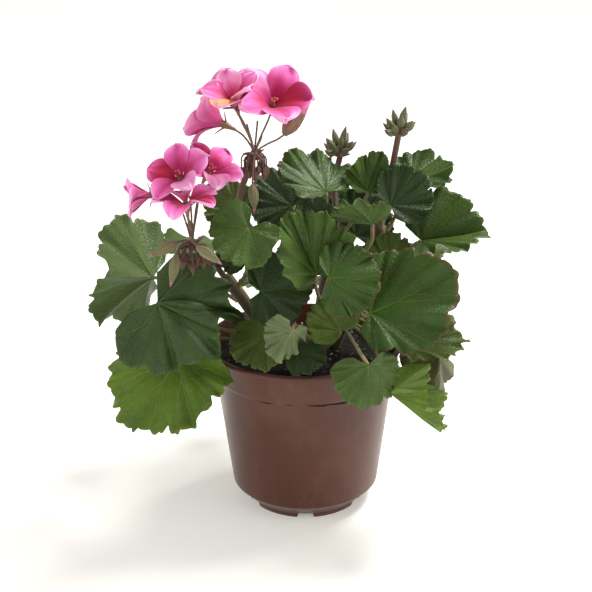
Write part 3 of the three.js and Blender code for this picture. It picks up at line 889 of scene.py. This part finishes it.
@dataclass
class Soil:
    """Crumbly soil with perlite and fibres in it."""

    rings: int = 60
    spokes: int = 200
    skirt: float = 8 * MM
    perlite_count: int = 120
    fibre_count: int = 70

    def top(self, x: float, y: float) -> float:
        """The height of the undisturbed surface at a place."""
        low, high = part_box("soil")
        share = min(math.hypot(x, y) / high.x, 1)
        return high.z - 3 * MM * share**2

    def surface(self) -> bpy.types.Object:
        """Builds the crumbly top."""
        rng = dice("soil")
        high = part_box("soil")[1]
        radius = high.x
        share = np.linspace(0, 1, self.rings + 1)
        angle = np.linspace(0, 2 * np.pi, self.spokes + 1)
        reach = np.minimum(share * 1.04, 1) * (radius - 0.2 * MM)
        x = np.outer(np.cos(angle), reach)
        y = np.outer(np.sin(angle), reach)
        z = high.z - 3 * MM * (reach / radius) ** 2 + np.zeros_like(x)
        lumps = np.zeros_like(x)
        for _ in range(70):
            wave = rng.normal(size=2) * rng.choice([90, 200, 420, 800])
            lumps += np.sin(x * wave[0] + y * wave[1] + rng.uniform(0, 6.28)) / (1 + np.hypot(*wave) / 260)
        z = z + 0.28 * MM * lumps - 0.6 * MM
        z[:, -3:] -= self.skirt * np.linspace(0.1, 1, 3)
        spots = np.stack([x, y, z], axis=-1)
        spots[:, 0] = spots[:, 0].mean(axis=0)
        shape = bmesh.new()
        woven(shape, spots)
        bmesh.ops.remove_doubles(shape, verts=shape.verts, dist=WELD)
        bmesh.ops.recalc_face_normals(shape, faces=shape.faces)
        return placed("soil_surface", shape, [SOIL], ["soil"])

    def flecks(self) -> None:
        """Strews perlite grains and fibres over the surface."""
        rng = dice("flecks")
        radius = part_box("soil")[1].x - 3 * MM
        grains = bmesh.new()
        for _ in range(self.perlite_count):
            reach, turn = radius * math.sqrt(rng.uniform()), rng.uniform(0, 2 * math.pi)
            x, y = reach * math.cos(turn), reach * math.sin(turn)
            size = rng.uniform(0.5, 1.5) * MM
            place = Matrix.Translation((x, y, self.top(x, y) + size * 0.2))
            stretch = Matrix.Diagonal((size, size * rng.uniform(0.6, 1), size * rng.uniform(0.5, 0.9), 1))
            turned = Matrix.Rotation(rng.uniform(0, 6.28), 4, rng.normal(size=3))
            made = bmesh.ops.create_icosphere(grains, subdivisions=2, radius=1, matrix=place @ turned @ stretch)
            for corner in made["verts"]:
                corner.co += Vector(rng.normal(size=3)) * size * 0.06
        placed("soil_perlite", grains, [PERLITE])
        fibres = bmesh.new()
        for _ in range(self.fibre_count):
            reach, turn = radius * math.sqrt(rng.uniform()), rng.uniform(0, 2 * math.pi)
            start = np.array([reach * math.cos(turn), reach * math.sin(turn), 0])
            heading = rng.uniform(0, 2 * math.pi)
            length = rng.uniform(3, 9) * MM
            points = []
            for step in range(4):
                at = start + length * step / 3 * np.array([math.cos(heading), math.sin(heading), 0])
                at = at + rng.normal(size=3) * 0.3 * MM
                at[2] = self.top(at[0], at[1]) + rng.uniform(0.2, 1.2) * MM
                points.append(at)
            if max(math.hypot(at[0], at[1]) for at in points) < radius:
                thick = rng.uniform(0.15, 0.4) * MM
                tube(fibres, np.array(points), [thick, thick, thick * 0.4], 6, 8)
        placed("soil_fibres", fibres, [FIBRE])

    def build(self) -> None:
        """Builds and dresses the soil."""
        self.surface()
        self.flecks()


# ---------------------------------------------------------------- stems and stalks


@dataclass
class Stems:
    """Main stems and flower stalks: each keeps the run of its CAD node and joins its branches softly."""

    stem_voxel: float = 0.8 * MM
    stalk_voxel: float = 0.36 * MM

    def softened(self, node: str, finish: StalkFinish, voxel: float) -> bpy.types.Object:
        """A copy of a CAD node whose joints are rounded.

        Args:
            node: the CAD node.
            finish: its finish.
            voxel: the size of the new faces, in metres.

        Returns:
            The piece.
        """
        piece = placed(f"{node}_skin", merged(node), [finish], [node])
        remesh = piece.modifiers.new("joined", "REMESH")
        remesh.mode = "VOXEL"
        remesh.voxel_size = voxel
        remesh.use_smooth_shade = True
        smooth = piece.modifiers.new("soft", "SMOOTH")
        smooth.factor = 0.5
        smooth.iterations = 5
        return piece

    def build(self) -> None:
        """Builds every stem and flower stalk."""
        for node in sorted(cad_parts):
            if node.startswith("stem_"):
                self.softened(node, STEM, self.stem_voxel)
            elif node.startswith("flower_stalks_"):
                self.softened(node, FLOWER_STALK, self.stalk_voxel)


# ---------------------------------------------------------------- leaves


@dataclass
class LeafForm:
    """What a leaf's CAD node says: its hub, upper side, margin, middle ring and petiole."""

    hub: np.ndarray
    upper: np.ndarray
    margin: np.ndarray
    middle: np.ndarray
    petiole: np.ndarray
    radius: float

    SECTORS = 20
    SINUS = 0.16
    SHARP = 2.0
    NEAR = 0.25
    PETIOLE_WIDTH = 2.7 * MM

    @classmethod
    def read(cls, node: str) -> "LeafForm":
        """Reads a leaf's form from its CAD node."""
        shape = merged(node)
        pole = max(shape.verts, key=lambda corner: len(corner.link_edges))
        hub = pole.co.copy()
        upper = sum((f.normal * f.calc_area() for f in pole.link_faces), Vector()).normalized()
        sharp = [e for e in shape.edges if len(e.link_faces) == 2 and e.calc_face_angle() > cls.SHARP]
        rim = {corner for edge in sharp for corner in edge.verts}
        radius = max((corner.co - hub).length for corner in rim)
        rim = [corner.co.copy() for corner in rim if (corner.co - hub).length > cls.NEAR * radius]
        petiole = cls._petiole(shape, pole)
        if (Vector(petiole[-2]) - hub).dot(upper) > 0.002:
            upper = -upper
        tree = BVHTree.FromBMesh(shape)
        side = upper.orthogonal().normalized()
        other = upper.cross(side)
        turn = [math.atan2((p - hub).dot(other), (p - hub).dot(side)) for p in rim]
        order = sorted(range(len(rim)), key=lambda i: turn[i])
        gaps = [(turn[order[(i + 1) % len(order)]] - turn[order[i]]) % (2 * math.pi) for i in range(len(order))]
        start = gaps.index(max(gaps)) + 1
        ring = [rim[order[(start + i) % len(order)]] for i in range(len(order))]
        middle = []
        for point in ring:
            half = (point - hub) * 0.5
            flat = hub + half - upper * half.dot(upper)
            hit = tree.ray_cast(flat + upper * radius * 0.6, -upper)[0]
            middle.append(hit if hit is not None and (hit - hub).length < radius else hub + half)
        sinus = (ring[0] + ring[-1]) / 2 - hub
        tip = ring[len(ring) // 2] - hub
        back = -(tip - upper * tip.dot(upper)).normalized() * radius * cls.SINUS
        if sinus.dot(back) < 0:
            sinus = back
        back = hub + back
        shape.free()
        margin = np.array([back, *ring])
        inner = np.array([hub + (back - hub) * 0.5, *middle])
        if len(ring) != cls.SECTORS - 1:
            LOG.warning("%s: %d margin points", node, len(ring))
            where = np.linspace(0, len(ring) - 1, cls.SECTORS - 1)
            margin = np.vstack([margin[:1], spline(margin[1:], where)])
            inner = np.vstack([inner[:1], spline(inner[1:], where)])
        return cls(np.array(hub), np.array(upper), margin, inner, petiole, radius)

    @classmethod
    def _petiole(cls, shape: bmesh.types.BMesh, pole: bmesh.types.BMVert) -> np.ndarray:
        """The petiole's middle line, from its root to the hub.

        Args:
            shape: the leaf's joined mesh.
            pole: the corner at its hub.

        Returns:
            Points along the petiole.
        """
        level = {pole: 0}
        front = [pole]
        while front:
            front_next = []
            for corner in front:
                for edge in corner.link_edges:
                    other = edge.other_vert(corner)
                    if other not in level:
                        level[other] = level[corner] + 1
                        front_next.append(other)
            front = front_next
        root = max(level, key=lambda corner: level[corner])
        ring = {corner for corner in shape.verts if (corner.co - root.co).length < cls.PETIOLE_WIDTH}
        seen = set(ring)
        points = []
        while len(ring) == 5:
            points.append(sum((corner.co for corner in ring), Vector()) / len(ring))
            ring = {e.other_vert(c) for c in ring for e in c.link_edges} - seen
            seen |= ring
        points = [p for p in points if (p - pole.co).length > 3 * MM]
        return np.array([*points, pole.co.copy()])


@dataclass
class Blade:
    """One leaf: a lobed, scalloped, pleated blade on a petiole."""

    node: str
    tone: LeafTone
    ruffle: float = 1.0
    columns: int = 240
    rows: int = 17
    thickness: float = 0.35 * MM
    teeth: int = 7
    open_turn: float = 171.0
    form: LeafForm = field(init=False)

    LOBES = 5

    def __post_init__(self) -> None:
        """Reads the leaf's form."""
        self.form = LeafForm.read(self.node)

    def base(self, turn: np.ndarray, share: np.ndarray) -> np.ndarray:
        """The smooth sheet without its fine detail.

        Args:
            turn: degrees round the blade, 0 at the tip.
            share: 0 at the hub and 1 at the margin.

        Returns:
            A place for each turn and share.
        """
        where = (turn + 180) / 360 * LeafForm.SECTORS
        edge = spline(self.form.margin, where, closed=True)[:, None, :]
        middle = spline(self.form.middle, where, closed=True)[:, None, :]
        s = share[None, :, None]
        return self.form.hub * (1 - s) * (1 - 2 * s) + middle * 4 * s * (1 - s) + edge * s * (2 * s - 1)

    def spots(self) -> np.ndarray:
        """The places of the blade's corners."""
        rng = dice(self.node)
        radius = self.form.radius
        turn = np.linspace(-self.open_turn, self.open_turn, self.columns + 1)
        share = np.linspace(0.0, 1, self.rows + 1) ** 0.85
        share[0] = 0.012
        sheet = self.base(turn, share)
        normal = unit(np.cross(np.gradient(sheet, axis=1), np.gradient(sheet, axis=0)))
        if np.sum(normal * self.form.upper) < 0:
            normal = -normal
        radian = np.radians(turn)
        lobe = self.LOBES * radian
        wander = sum(rng.normal() * np.sin(radian * k + rng.uniform(0, 6.28)) for k in (1, 2, 3, 4)) * 0.018
        tooth = np.abs(np.cos(self.teeth * lobe / 2 + wander * 8)) ** 0.6
        depth = 0.036 * (1 + 0.4 * np.sin(radian * 3 + rng.uniform(0, 6.28)))
        incision = np.exp(-(1 - np.abs(np.sin(lobe / 2))) / 0.012)
        reach = 1 + wander + depth * (tooth - 0.62) - 0.07 * incision - 0.05 * np.cos(lobe)
        reach = reach + 0.012 * np.cos(3 * lobe)
        s = share[None, :]
        stretch = 1 + (reach[:, None] - 1) * s**5
        sheet = self.form.hub + (sheet - self.form.hub) * stretch[..., None]
        pleat = np.abs(np.sin(lobe / 2))[:, None] * 0.085 * s * (1.25 - 0.75 * s)
        pleat = pleat + np.abs(np.sin(lobe * 1.5))[:, None] * 0.010 * s**2
        waves = np.zeros((len(turn), len(share)))
        for count, size in ((5, 0.7), (9, 0.8), (14, 0.7), (21, 0.4)):
            waves += size * np.sin(radian * count + rng.uniform(0, 6.28))[:, None] * s**3.5
        swell = np.zeros_like(waves)
        flat = (sheet - self.form.hub) / radius
        for _ in range(5):
            wave = rng.normal(size=3) * 3.2
            swell += np.sin(flat @ wave + rng.uniform(0, 6.28)) * 0.011 * s**1.5
        lift = pleat + 0.02 * self.ruffle * waves + swell
        return sheet + normal * (lift * radius)[..., None]

    def petiole(self) -> bpy.types.Object:
        """Builds the petiole, from inside the stem to under the hub."""
        points = self.form.petiole
        start = points[0] + (points[0] - points[1]) / np.linalg.norm(points[1] - points[0]) * 2.2 * MM
        end = points[-1] + self.form.upper * -0.5 * MM
        line = np.array([start, *points[:-1], end])
        shape = bmesh.new()
        tube(shape, line, [2.1 * MM, 1.35 * MM, 1.15 * MM, 1.1 * MM, 1.1 * MM, 1.3 * MM], 12, 30, (5, 0.05))
        return placed(f"petiole_{self.node.removeprefix('leaf_')}", shape, [PETIOLE])

    def build(self) -> None:
        """Builds and dresses the leaf."""
        shape = bmesh.new()
        woven(shape, self.spots())
        face_towards(shape, self.form.upper)
        piece = placed(f"blade_{self.node.removeprefix('leaf_')}", shape, self.tone.value, [self.node])
        thickened(piece, self.thickness, 1)
        self.petiole()


# Which green each leaf gets. The darkest green is painted shade and the brightest is painted light, chosen by where
# each leaf sits in the light.
LEAF_TONES = {
    "leaf_left_low": LeafTone.LIT,
    "leaf_left_front": LeafTone.GREY,
    "leaf_left_back": LeafTone.MID,
    "leaf_left_inner": LeafTone.MID,
    "leaf_behind_flowers": LeafTone.OLIVE,
    "leaf_left_shaded": LeafTone.SHADOWED,
    "leaf_upper_shaded": LeafTone.SHADOWED,
    "leaf_top_fan": LeafTone.DEEP,
    "leaf_top_ruffled": LeafTone.MID,
    "leaf_top_small": LeafTone.SHADOWED,
    "leaf_young_cup": LeafTone.MID,
    "leaf_centre_diagonal": LeafTone.MID,
    "leaf_centre_ruffled": LeafTone.DEEP,
    "leaf_centre_dark": LeafTone.SHADOWED,
    "leaf_pale_crumpled": LeafTone.PALE,
    "leaf_low_left": LeafTone.OLIVE,
    "leaf_low_centre": LeafTone.SHADOWED,
    "leaf_yellow_green": LeafTone.YELLOW,
    "leaf_right_large": LeafTone.DEEP,
    "leaf_right_under": LeafTone.OLIVE,
    "leaf_right_hanging": LeafTone.MID,
    "leaf_right_trailing": LeafTone.LIT,
    "leaf_right_withered": LeafTone.DRIED,
    "leaf_right_reaching": LeafTone.MID,
    "leaf_right_olive": LeafTone.OLIVE,
    "leaf_right_upright": LeafTone.SHADOWED,
    "leaf_right_top": LeafTone.MID,
    "leaf_inner_dark": LeafTone.SHADOWED,
}


RUFFLED_LEAVES = {
    "leaf_top_ruffled", "leaf_young_cup", "leaf_centre_ruffled", "leaf_right_top", "leaf_pale_crumpled",
}
DEEP_RUFFLE = 2.8
SOFT_RUFFLE = 1.7


# ---------------------------------------------------------------- flowers

FADING_FLORET = "floret_upper_middle"
FADED_PETALS = 2


@dataclass
class Axis:
    """The foot, far end and direction of a turned CAD node."""

    foot: np.ndarray
    end: np.ndarray

    @classmethod
    def read(cls, node: str, sides: int) -> "Axis":
        """Finds a node's two poles, where as many edges meet as it has sides.

        Args:
            node: the CAD node.
            sides: the corners round it.

        Returns:
            Its axis, from the pole with the smaller faces.
        """
        shape = merged(node)
        poles = [corner for corner in shape.verts if len(corner.link_edges) == sides]
        poles.sort(key=lambda corner: sum(edge.calc_length() for edge in corner.link_edges))
        foot, end = poles[0].co.copy(), poles[-1].co.copy()
        shape.free()
        return cls(np.array(foot), np.array(end))

    @property
    def along(self) -> np.ndarray:
        """The unit arrow from foot to end."""
        return unit(self.end - self.foot)

    def at(self, distance: float) -> np.ndarray:
        """The place at a distance from the foot."""
        return self.foot + self.along * distance


@dataclass
class Floret:
    """One flower: a ribbed calyx with pointed sepals, five broad petals and a few stamens."""

    node: str
    tones: tuple[PetalTone, ...] = (
        PetalTone.ROSE, PetalTone.CRIMSON, PetalTone.ROSE, PetalTone.BLUSH, PetalTone.ROSE,
    )
    breadth: float = 0.4
    widest: float = 0.66
    claw: float = 0.14
    calyx_length: float = 9 * MM
    throat_radius: float = 2.2 * MM
    petal_thickness: float = 0.22 * MM

    SECTORS = 20
    PETALS = 5

    def read(self) -> tuple[Axis, np.ndarray]:
        """The flower's axis and the tips of its petals."""
        axis = Axis.read(self.node, self.SECTORS)
        shape = merged(self.node)
        far = sorted((corner.co for corner in shape.verts), key=lambda p: -(p - Vector(axis.end)).length)
        tips = np.array([np.array(p) for p in far[: self.PETALS]])
        shape.free()
        side = across_to(axis.along, tips[0] - axis.end)
        other = np.cross(axis.along, side)
        turn = np.arctan2((tips - axis.end) @ other, (tips - axis.end) @ side)
        return axis, tips[np.argsort(turn)]

    def petal(self, shape: bmesh.types.BMesh, axis: Axis, tip: np.ndarray, number: int) -> None:
        """Adds one petal.

        Args:
            shape: what it is added to.
            axis: the flower's axis.
            tip: the petal's tip.
            number: which petal it is.
        """
        rng = dice(f"{self.node} petal {number}")
        outward = across_to(axis.along, tip - axis.end)
        start = axis.at(self.calyx_length - 1.5 * MM) + outward * self.throat_radius * 0.7
        length = np.linalg.norm(tip - start) * rng.uniform(0.98, 1.06)
        ahead = unit(tip - start)
        inner = across_to(ahead, axis.along)
        side = np.cross(ahead, inner)
        u = np.linspace(-1, 1, 29)[:, None]
        v = np.sin(np.linspace(0, np.pi / 2, 33))[None, :]
        rounded = np.sqrt(np.clip(1 - ((v - self.widest) / (1 - self.widest)) ** 2, 0, 1))
        claw = self.claw + (1 - self.claw) * np.sin(np.pi / 2 * v / self.widest) ** 1.5
        outline = np.where(v > self.widest, rounded, claw)
        half = length * self.breadth * rng.uniform(0.9, 1.1) * outline
        notch = 1 - 0.05 * np.exp(-((u / 0.16) ** 2)) * v**6
        along = length * v * notch * (1 - 0.04 * (u**2) * v)
        lift = length * (0.10 * np.sin(np.pi * v) + rng.uniform(-0.26, 0.02) * v**2.4)
        cup = (u**2) * half * rng.uniform(-0.05, 0.4)
        broad = 0.065 * np.sin(u * 4 + rng.uniform(0, 6))
        fine = 0.026 * np.sin(u * 9 + rng.uniform(0, 6))
        ruffle = length * v**2.5 * (broad + fine)
        twist = u * half * rng.uniform(-0.22, 0.22) * v
        rise = lift + cup + ruffle + twist + length * 0.012 * (number % 2)
        spots = (
            start + along[..., None] * ahead + (u * half)[..., None] * side + rise[..., None] * inner
        )
        woven(shape, spots)

    def calyx(self, axis: Axis, tips: np.ndarray) -> bpy.types.Object:
        """Builds the calyx: a ribbed tube and five pointed sepals."""
        shape = bmesh.new()
        throat = axis.at(self.calyx_length)
        line = np.array([axis.at(-0.5 * MM), axis.at(self.calyx_length * 0.5), throat])
        tube(shape, line, [0.9 * MM, 1.2 * MM, 1.9 * MM, 2.3 * MM, 1.6 * MM], 20, 14, (5, 0.1))
        for number in range(self.PETALS):
            rng = dice(f"{self.node} sepal {number}")
            between = tips[number] + tips[(number + 1) % self.PETALS] - 2 * axis.end
            outward = across_to(axis.along, between)
            start = axis.at(self.calyx_length * 0.62) + outward * 1.3 * MM
            ahead = unit(axis.along * rng.uniform(0.4, 0.95) + outward)
            inner = across_to(ahead, axis.along)
            side = np.cross(ahead, inner)
            length = rng.uniform(6.5, 9) * MM
            u = np.linspace(-1, 1, 7)[:, None]
            v = np.linspace(0, 1, 13)[None, :]
            half = 1.15 * MM * np.sin(np.pi * (0.12 + 0.88 * v)) ** 0.7 * (1 - 0.35 * v)
            bend = -length * rng.uniform(0.02, 0.25) * v**2 + 0.25 * u**2 * half
            spots = start + (v * length)[..., None] * ahead + (u * half)[..., None] * side + bend[..., None] * inner
            woven(shape, spots)
        piece = placed(f"calyx_{self.node.removeprefix('floret_')}", shape, [CALYX])
        thickened(piece, 0.25 * MM)
        return piece

    def heart(self, axis: Axis) -> bpy.types.Object:
        """Builds the stamens and their anthers."""
        rng = dice(f"{self.node} heart")
        shape = bmesh.new()
        side = across_to(axis.along, np.array([0.3, 0.5, 0.81]))
        other = np.cross(axis.along, side)
        for number in range(6):
            turn = number * 2.4
            outward = side * math.cos(turn) + other * math.sin(turn)
            start = axis.at(self.calyx_length - 1.5 * MM) + outward * 0.5 * MM
            reach = rng.uniform(4.5, 7) * MM
            middle = start + axis.along * reach * 0.6 + outward * 0.4 * MM
            end = start + axis.along * reach + outward * rng.uniform(0.8, 1.8) * MM
            tube(shape, np.array([start, middle, end]), [0.32 * MM, 0.2 * MM], 6, 8)
            bmesh.ops.create_icosphere(
                shape, subdivisions=2, radius=1,
                matrix=Matrix.Translation(end) @ Matrix.Diagonal((0.55 * MM, 0.55 * MM, 0.8 * MM, 1)),
            )
        return placed(f"stamens_{self.node.removeprefix('floret_')}", shape, [ANTHER])

    def build(self) -> None:
        """Builds and dresses the flower."""
        axis, tips = self.read()
        short = self.node.removeprefix("floret_")
        for number, tip in enumerate(tips):
            shape = bmesh.new()
            self.petal(shape, axis, tip, number)
            face_towards(shape, axis.along)
            tone = self.tones[number % len(self.tones)]
            if self.node == FADING_FLORET and number < FADED_PETALS:
                tone = PetalTone.FADED
            dress = [tone.value, PetalTone.REVERSE.value]
            piece = placed(f"petal_{short}_{number + 1}", shape, dress, [self.node])
            thickened(piece, self.petal_thickness, 1)
        self.calyx(axis, tips)
        self.heart(axis)


def spindle(shape: bmesh.types.BMesh, foot: np.ndarray, end: np.ndarray, radius: float, folds: int = 5) -> None:
    """Adds one closed bud: fluted, fat in its lower half and drawn out to a point.

    Args:
        shape: what it is added to.
        foot: where it starts.
        end: its point.
        radius: its largest radius.
        folds: the sepals folded round it.
    """
    bend = np.cross(end - foot, [0.2, 0.5, 0.3])
    middle = (foot + end) / 2 + bend * 0.04
    swell = [0.3, 0.7, 0.95, 1.0, 0.93, 0.78, 0.55, 0.3, 0.06]
    tube(shape, np.array([foot, middle, end]), [radius * part for part in swell], 4 * folds, 24, (folds, 0.12))


@dataclass
class Bud:
    """A single bud on its stalk."""

    node: str
    finish: BudFinish = PINK_BUD

    def build(self) -> None:
        """Builds and dresses the bud."""
        axis = Axis.read(self.node, 8)
        shape = merged(self.node)
        reach = max(np.linalg.norm(np.cross(np.array(c.co) - axis.foot, axis.along)) for c in shape.verts)
        shape.free()
        body = bmesh.new()
        spindle(body, axis.at(-0.4 * MM), axis.end, reach)
        placed(f"{self.node}_body", body, [self.finish], [self.node])


@dataclass
class BudCluster:
    """A young flower head: pointed buds crowded on short stalks, with small bracts under them."""

    node: str
    buds: int = 13
    lean: float = 78.0

    def build(self) -> None:
        """Builds and dresses the cluster."""
        low, high = (np.array(corner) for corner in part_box(self.node))
        rng = dice(self.node)
        foot = np.array([(low[0] + high[0]) / 2, (low[1] + high[1]) / 2, low[2]])
        height, reach = high[2] - low[2], (high[0] - low[0]) / 2
        body, stalks = bmesh.new(), bmesh.new()
        for number in range(self.buds):
            share = (number + 0.5) / self.buds
            lean = math.radians(self.lean * share**0.6)
            turn = number * 2.39996
            out = np.array([math.cos(turn) * math.sin(lean), math.sin(turn) * math.sin(lean), math.cos(lean)])
            limit = 1 / math.hypot(math.sin(lean) / reach, math.cos(lean) / height)
            end = foot + out * limit * rng.uniform(0.86, 1.0) + np.array([0, 0, 2.0 * MM * math.sin(lean)])
            start = foot + out * limit * 0.36
            spindle(body, start, end, rng.uniform(1.7, 2.4) * MM)
            tube(stalks, np.array([foot, foot + out * limit * 0.2, start]), [0.8 * MM, 0.7 * MM], 8, 6)
        placed(f"{self.node}_buds", body, [GREEN_BUD], [self.node])
        for number in range(7):
            turn = number * 0.9 + 0.3
            out = np.array([math.cos(turn), math.sin(turn), 0.25])
            spindle(stalks, foot, foot + out * rng.uniform(5, 8) * MM, 1.3 * MM, 4)
        placed(f"{self.node}_stalks", stalks, [CALYX])


@dataclass
class BractWhorl:
    """The tuft under an open flower head: spent buds that hang, and dry bracts."""

    node: str
    finish: StalkFinish = DRIED_BRACT
    hanging: int = 16

    def build(self) -> None:
        """Builds and dresses the whorl."""
        low, high = (np.array(corner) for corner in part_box(self.node))
        rng = dice(self.node)
        middle = (low + high) / 2
        top = np.array([middle[0], middle[1], high[2] - 3 * MM])
        reach, drop = (high[0] - low[0]) * 0.68, (high[2] - low[2]) * 1.25
        shape = bmesh.new()
        knob = np.array([top + [0, 0, 2.5 * MM], top, top - [0, 0, 3.5 * MM]])
        tube(shape, knob, [1.6 * MM, 3 * MM, 2 * MM], 14, 10)
        for number in range(self.hanging):
            turn = number * 2.39996
            spread = rng.uniform(0.45, 0.95)
            side = np.array([math.cos(turn), math.sin(turn), 0])
            knee = top + side * reach * spread * 0.8 + [0, 0, -1.5 * MM]
            end = top + side * reach * spread + [0, 0, -drop * rng.uniform(0.55, 0.8)]
            neck = knee * 0.45 + end * 0.55
            tube(shape, np.array([top, knee, neck]), [0.55 * MM, 0.45 * MM], 7, 8)
            spindle(shape, neck + (knee - neck) * 0.2, end, rng.uniform(1.3, 2.0) * MM)
        for number in range(7):
            turn = number * 0.9
            out = np.array([math.cos(turn), math.sin(turn), rng.uniform(-0.5, 0.5)])
            spindle(shape, top, top + out * rng.uniform(0.55, 0.9) * reach, 1.2 * MM, 4)
        placed(f"{self.node}_tuft", shape, [self.finish], [self.node])


# ---------------------------------------------------------------- studio


@dataclass
class Studio:
    """Plain floor, soft light and the camera."""

    eye: Vector = field(default_factory=lambda: Vector((0, -0.671476, 0.386055)))
    right: Vector = field(default_factory=lambda: Vector((0.9999435, 0.00398076, -0.00985638)))
    up: Vector = field(default_factory=lambda: Vector((0.00789403, 0.34288687, 0.93934354)))
    lens: float = 67.07
    floor_size: float = 14.0

    def camera(self) -> None:
        """Sets up the camera."""
        data = bpy.data.cameras.new("camera")
        data.lens = self.lens
        data.sensor_width = 36
        data.clip_start, data.clip_end = 0.05, 50
        camera = bpy.data.objects.new("camera", data)
        back = self.right.cross(self.up)
        turn = Matrix((self.right, self.up, back)).transposed().to_4x4()
        camera.matrix_world = Matrix.Translation(self.eye) @ turn
        bpy.context.scene.collection.objects.link(camera)
        bpy.context.scene.camera = camera

    def lamp(self, name: str, place: tuple[float, float, float], size: float, power: float) -> None:
        """Adds one soft square lamp that looks at the plant.

        Args:
            name: the lamp's name.
            place: where it hangs.
            size: its side, in metres.
            power: in watts.
        """
        data = bpy.data.lights.new(name, "AREA")
        data.size = size
        data.energy = power
        data.color = (1.0, 0.985, 0.96)
        lamp = bpy.data.objects.new(name, data)
        lamp.location = place
        lamp.rotation_mode = "QUATERNION"
        lamp.rotation_quaternion = (Vector(place) - Vector((0, 0, 0.12))).to_track_quat("Z", "Y")
        bpy.context.scene.collection.objects.link(lamp)

    def build(self) -> None:
        """Builds the studio."""
        self.camera()
        self.lamp("key", (0.7, 0.45, 1.5), 0.6, 34)
        self.lamp("left_wall", (-1.5, -0.7, 0.7), 1.2, 7)
        self.lamp("right_wall", (1.5, -0.6, 0.6), 1.2, 7)
        world = bpy.data.worlds.new("studio")
        world.use_nodes = True
        light = world.node_tree.nodes["Background"]
        light.inputs["Color"].default_value = (1.0, 0.995, 0.98, 1)
        light.inputs["Strength"].default_value = 0.56
        bpy.context.scene.world = world
        bpy.context.scene.view_settings.view_transform = "Standard"
        shape = bmesh.new()
        bmesh.ops.create_grid(shape, x_segments=2, y_segments=2, size=self.floor_size / 2)
        data = bpy.data.meshes.new("floor")
        shape.to_mesh(data)
        shape.free()
        data.materials.append(Shelf.take(FloorFinish()))
        floor = bpy.data.objects.new("floor", data)
        bpy.context.scene.collection.objects.link(floor)


# ---------------------------------------------------------------- the whole plant


def main() -> None:
    """Builds every piece in turn."""
    logging.basicConfig(level=logging.INFO, format="%(message)s")
    Pot().build()
    Soil().build()
    Stems().build()
    for node in sorted(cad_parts):
        if node.startswith("leaf_"):
            ruffle = DEEP_RUFFLE if node in RUFFLED_LEAVES else SOFT_RUFFLE
            Blade(node, LEAF_TONES.get(node, LeafTone.MID), ruffle).build()
        elif node.startswith("floret_"):
            Floret(node).build()
        elif node.startswith("bud_cluster_"):
            BudCluster(node).build()
        elif node.startswith("bud_"):
            Bud(node, OPENING_BUD if node == "bud_upper_opening" else PINK_BUD).build()
        elif node.startswith("bracts_"):
            BractWhorl(node).build()
    Studio().build()


if __name__ == "__main__":
    main()
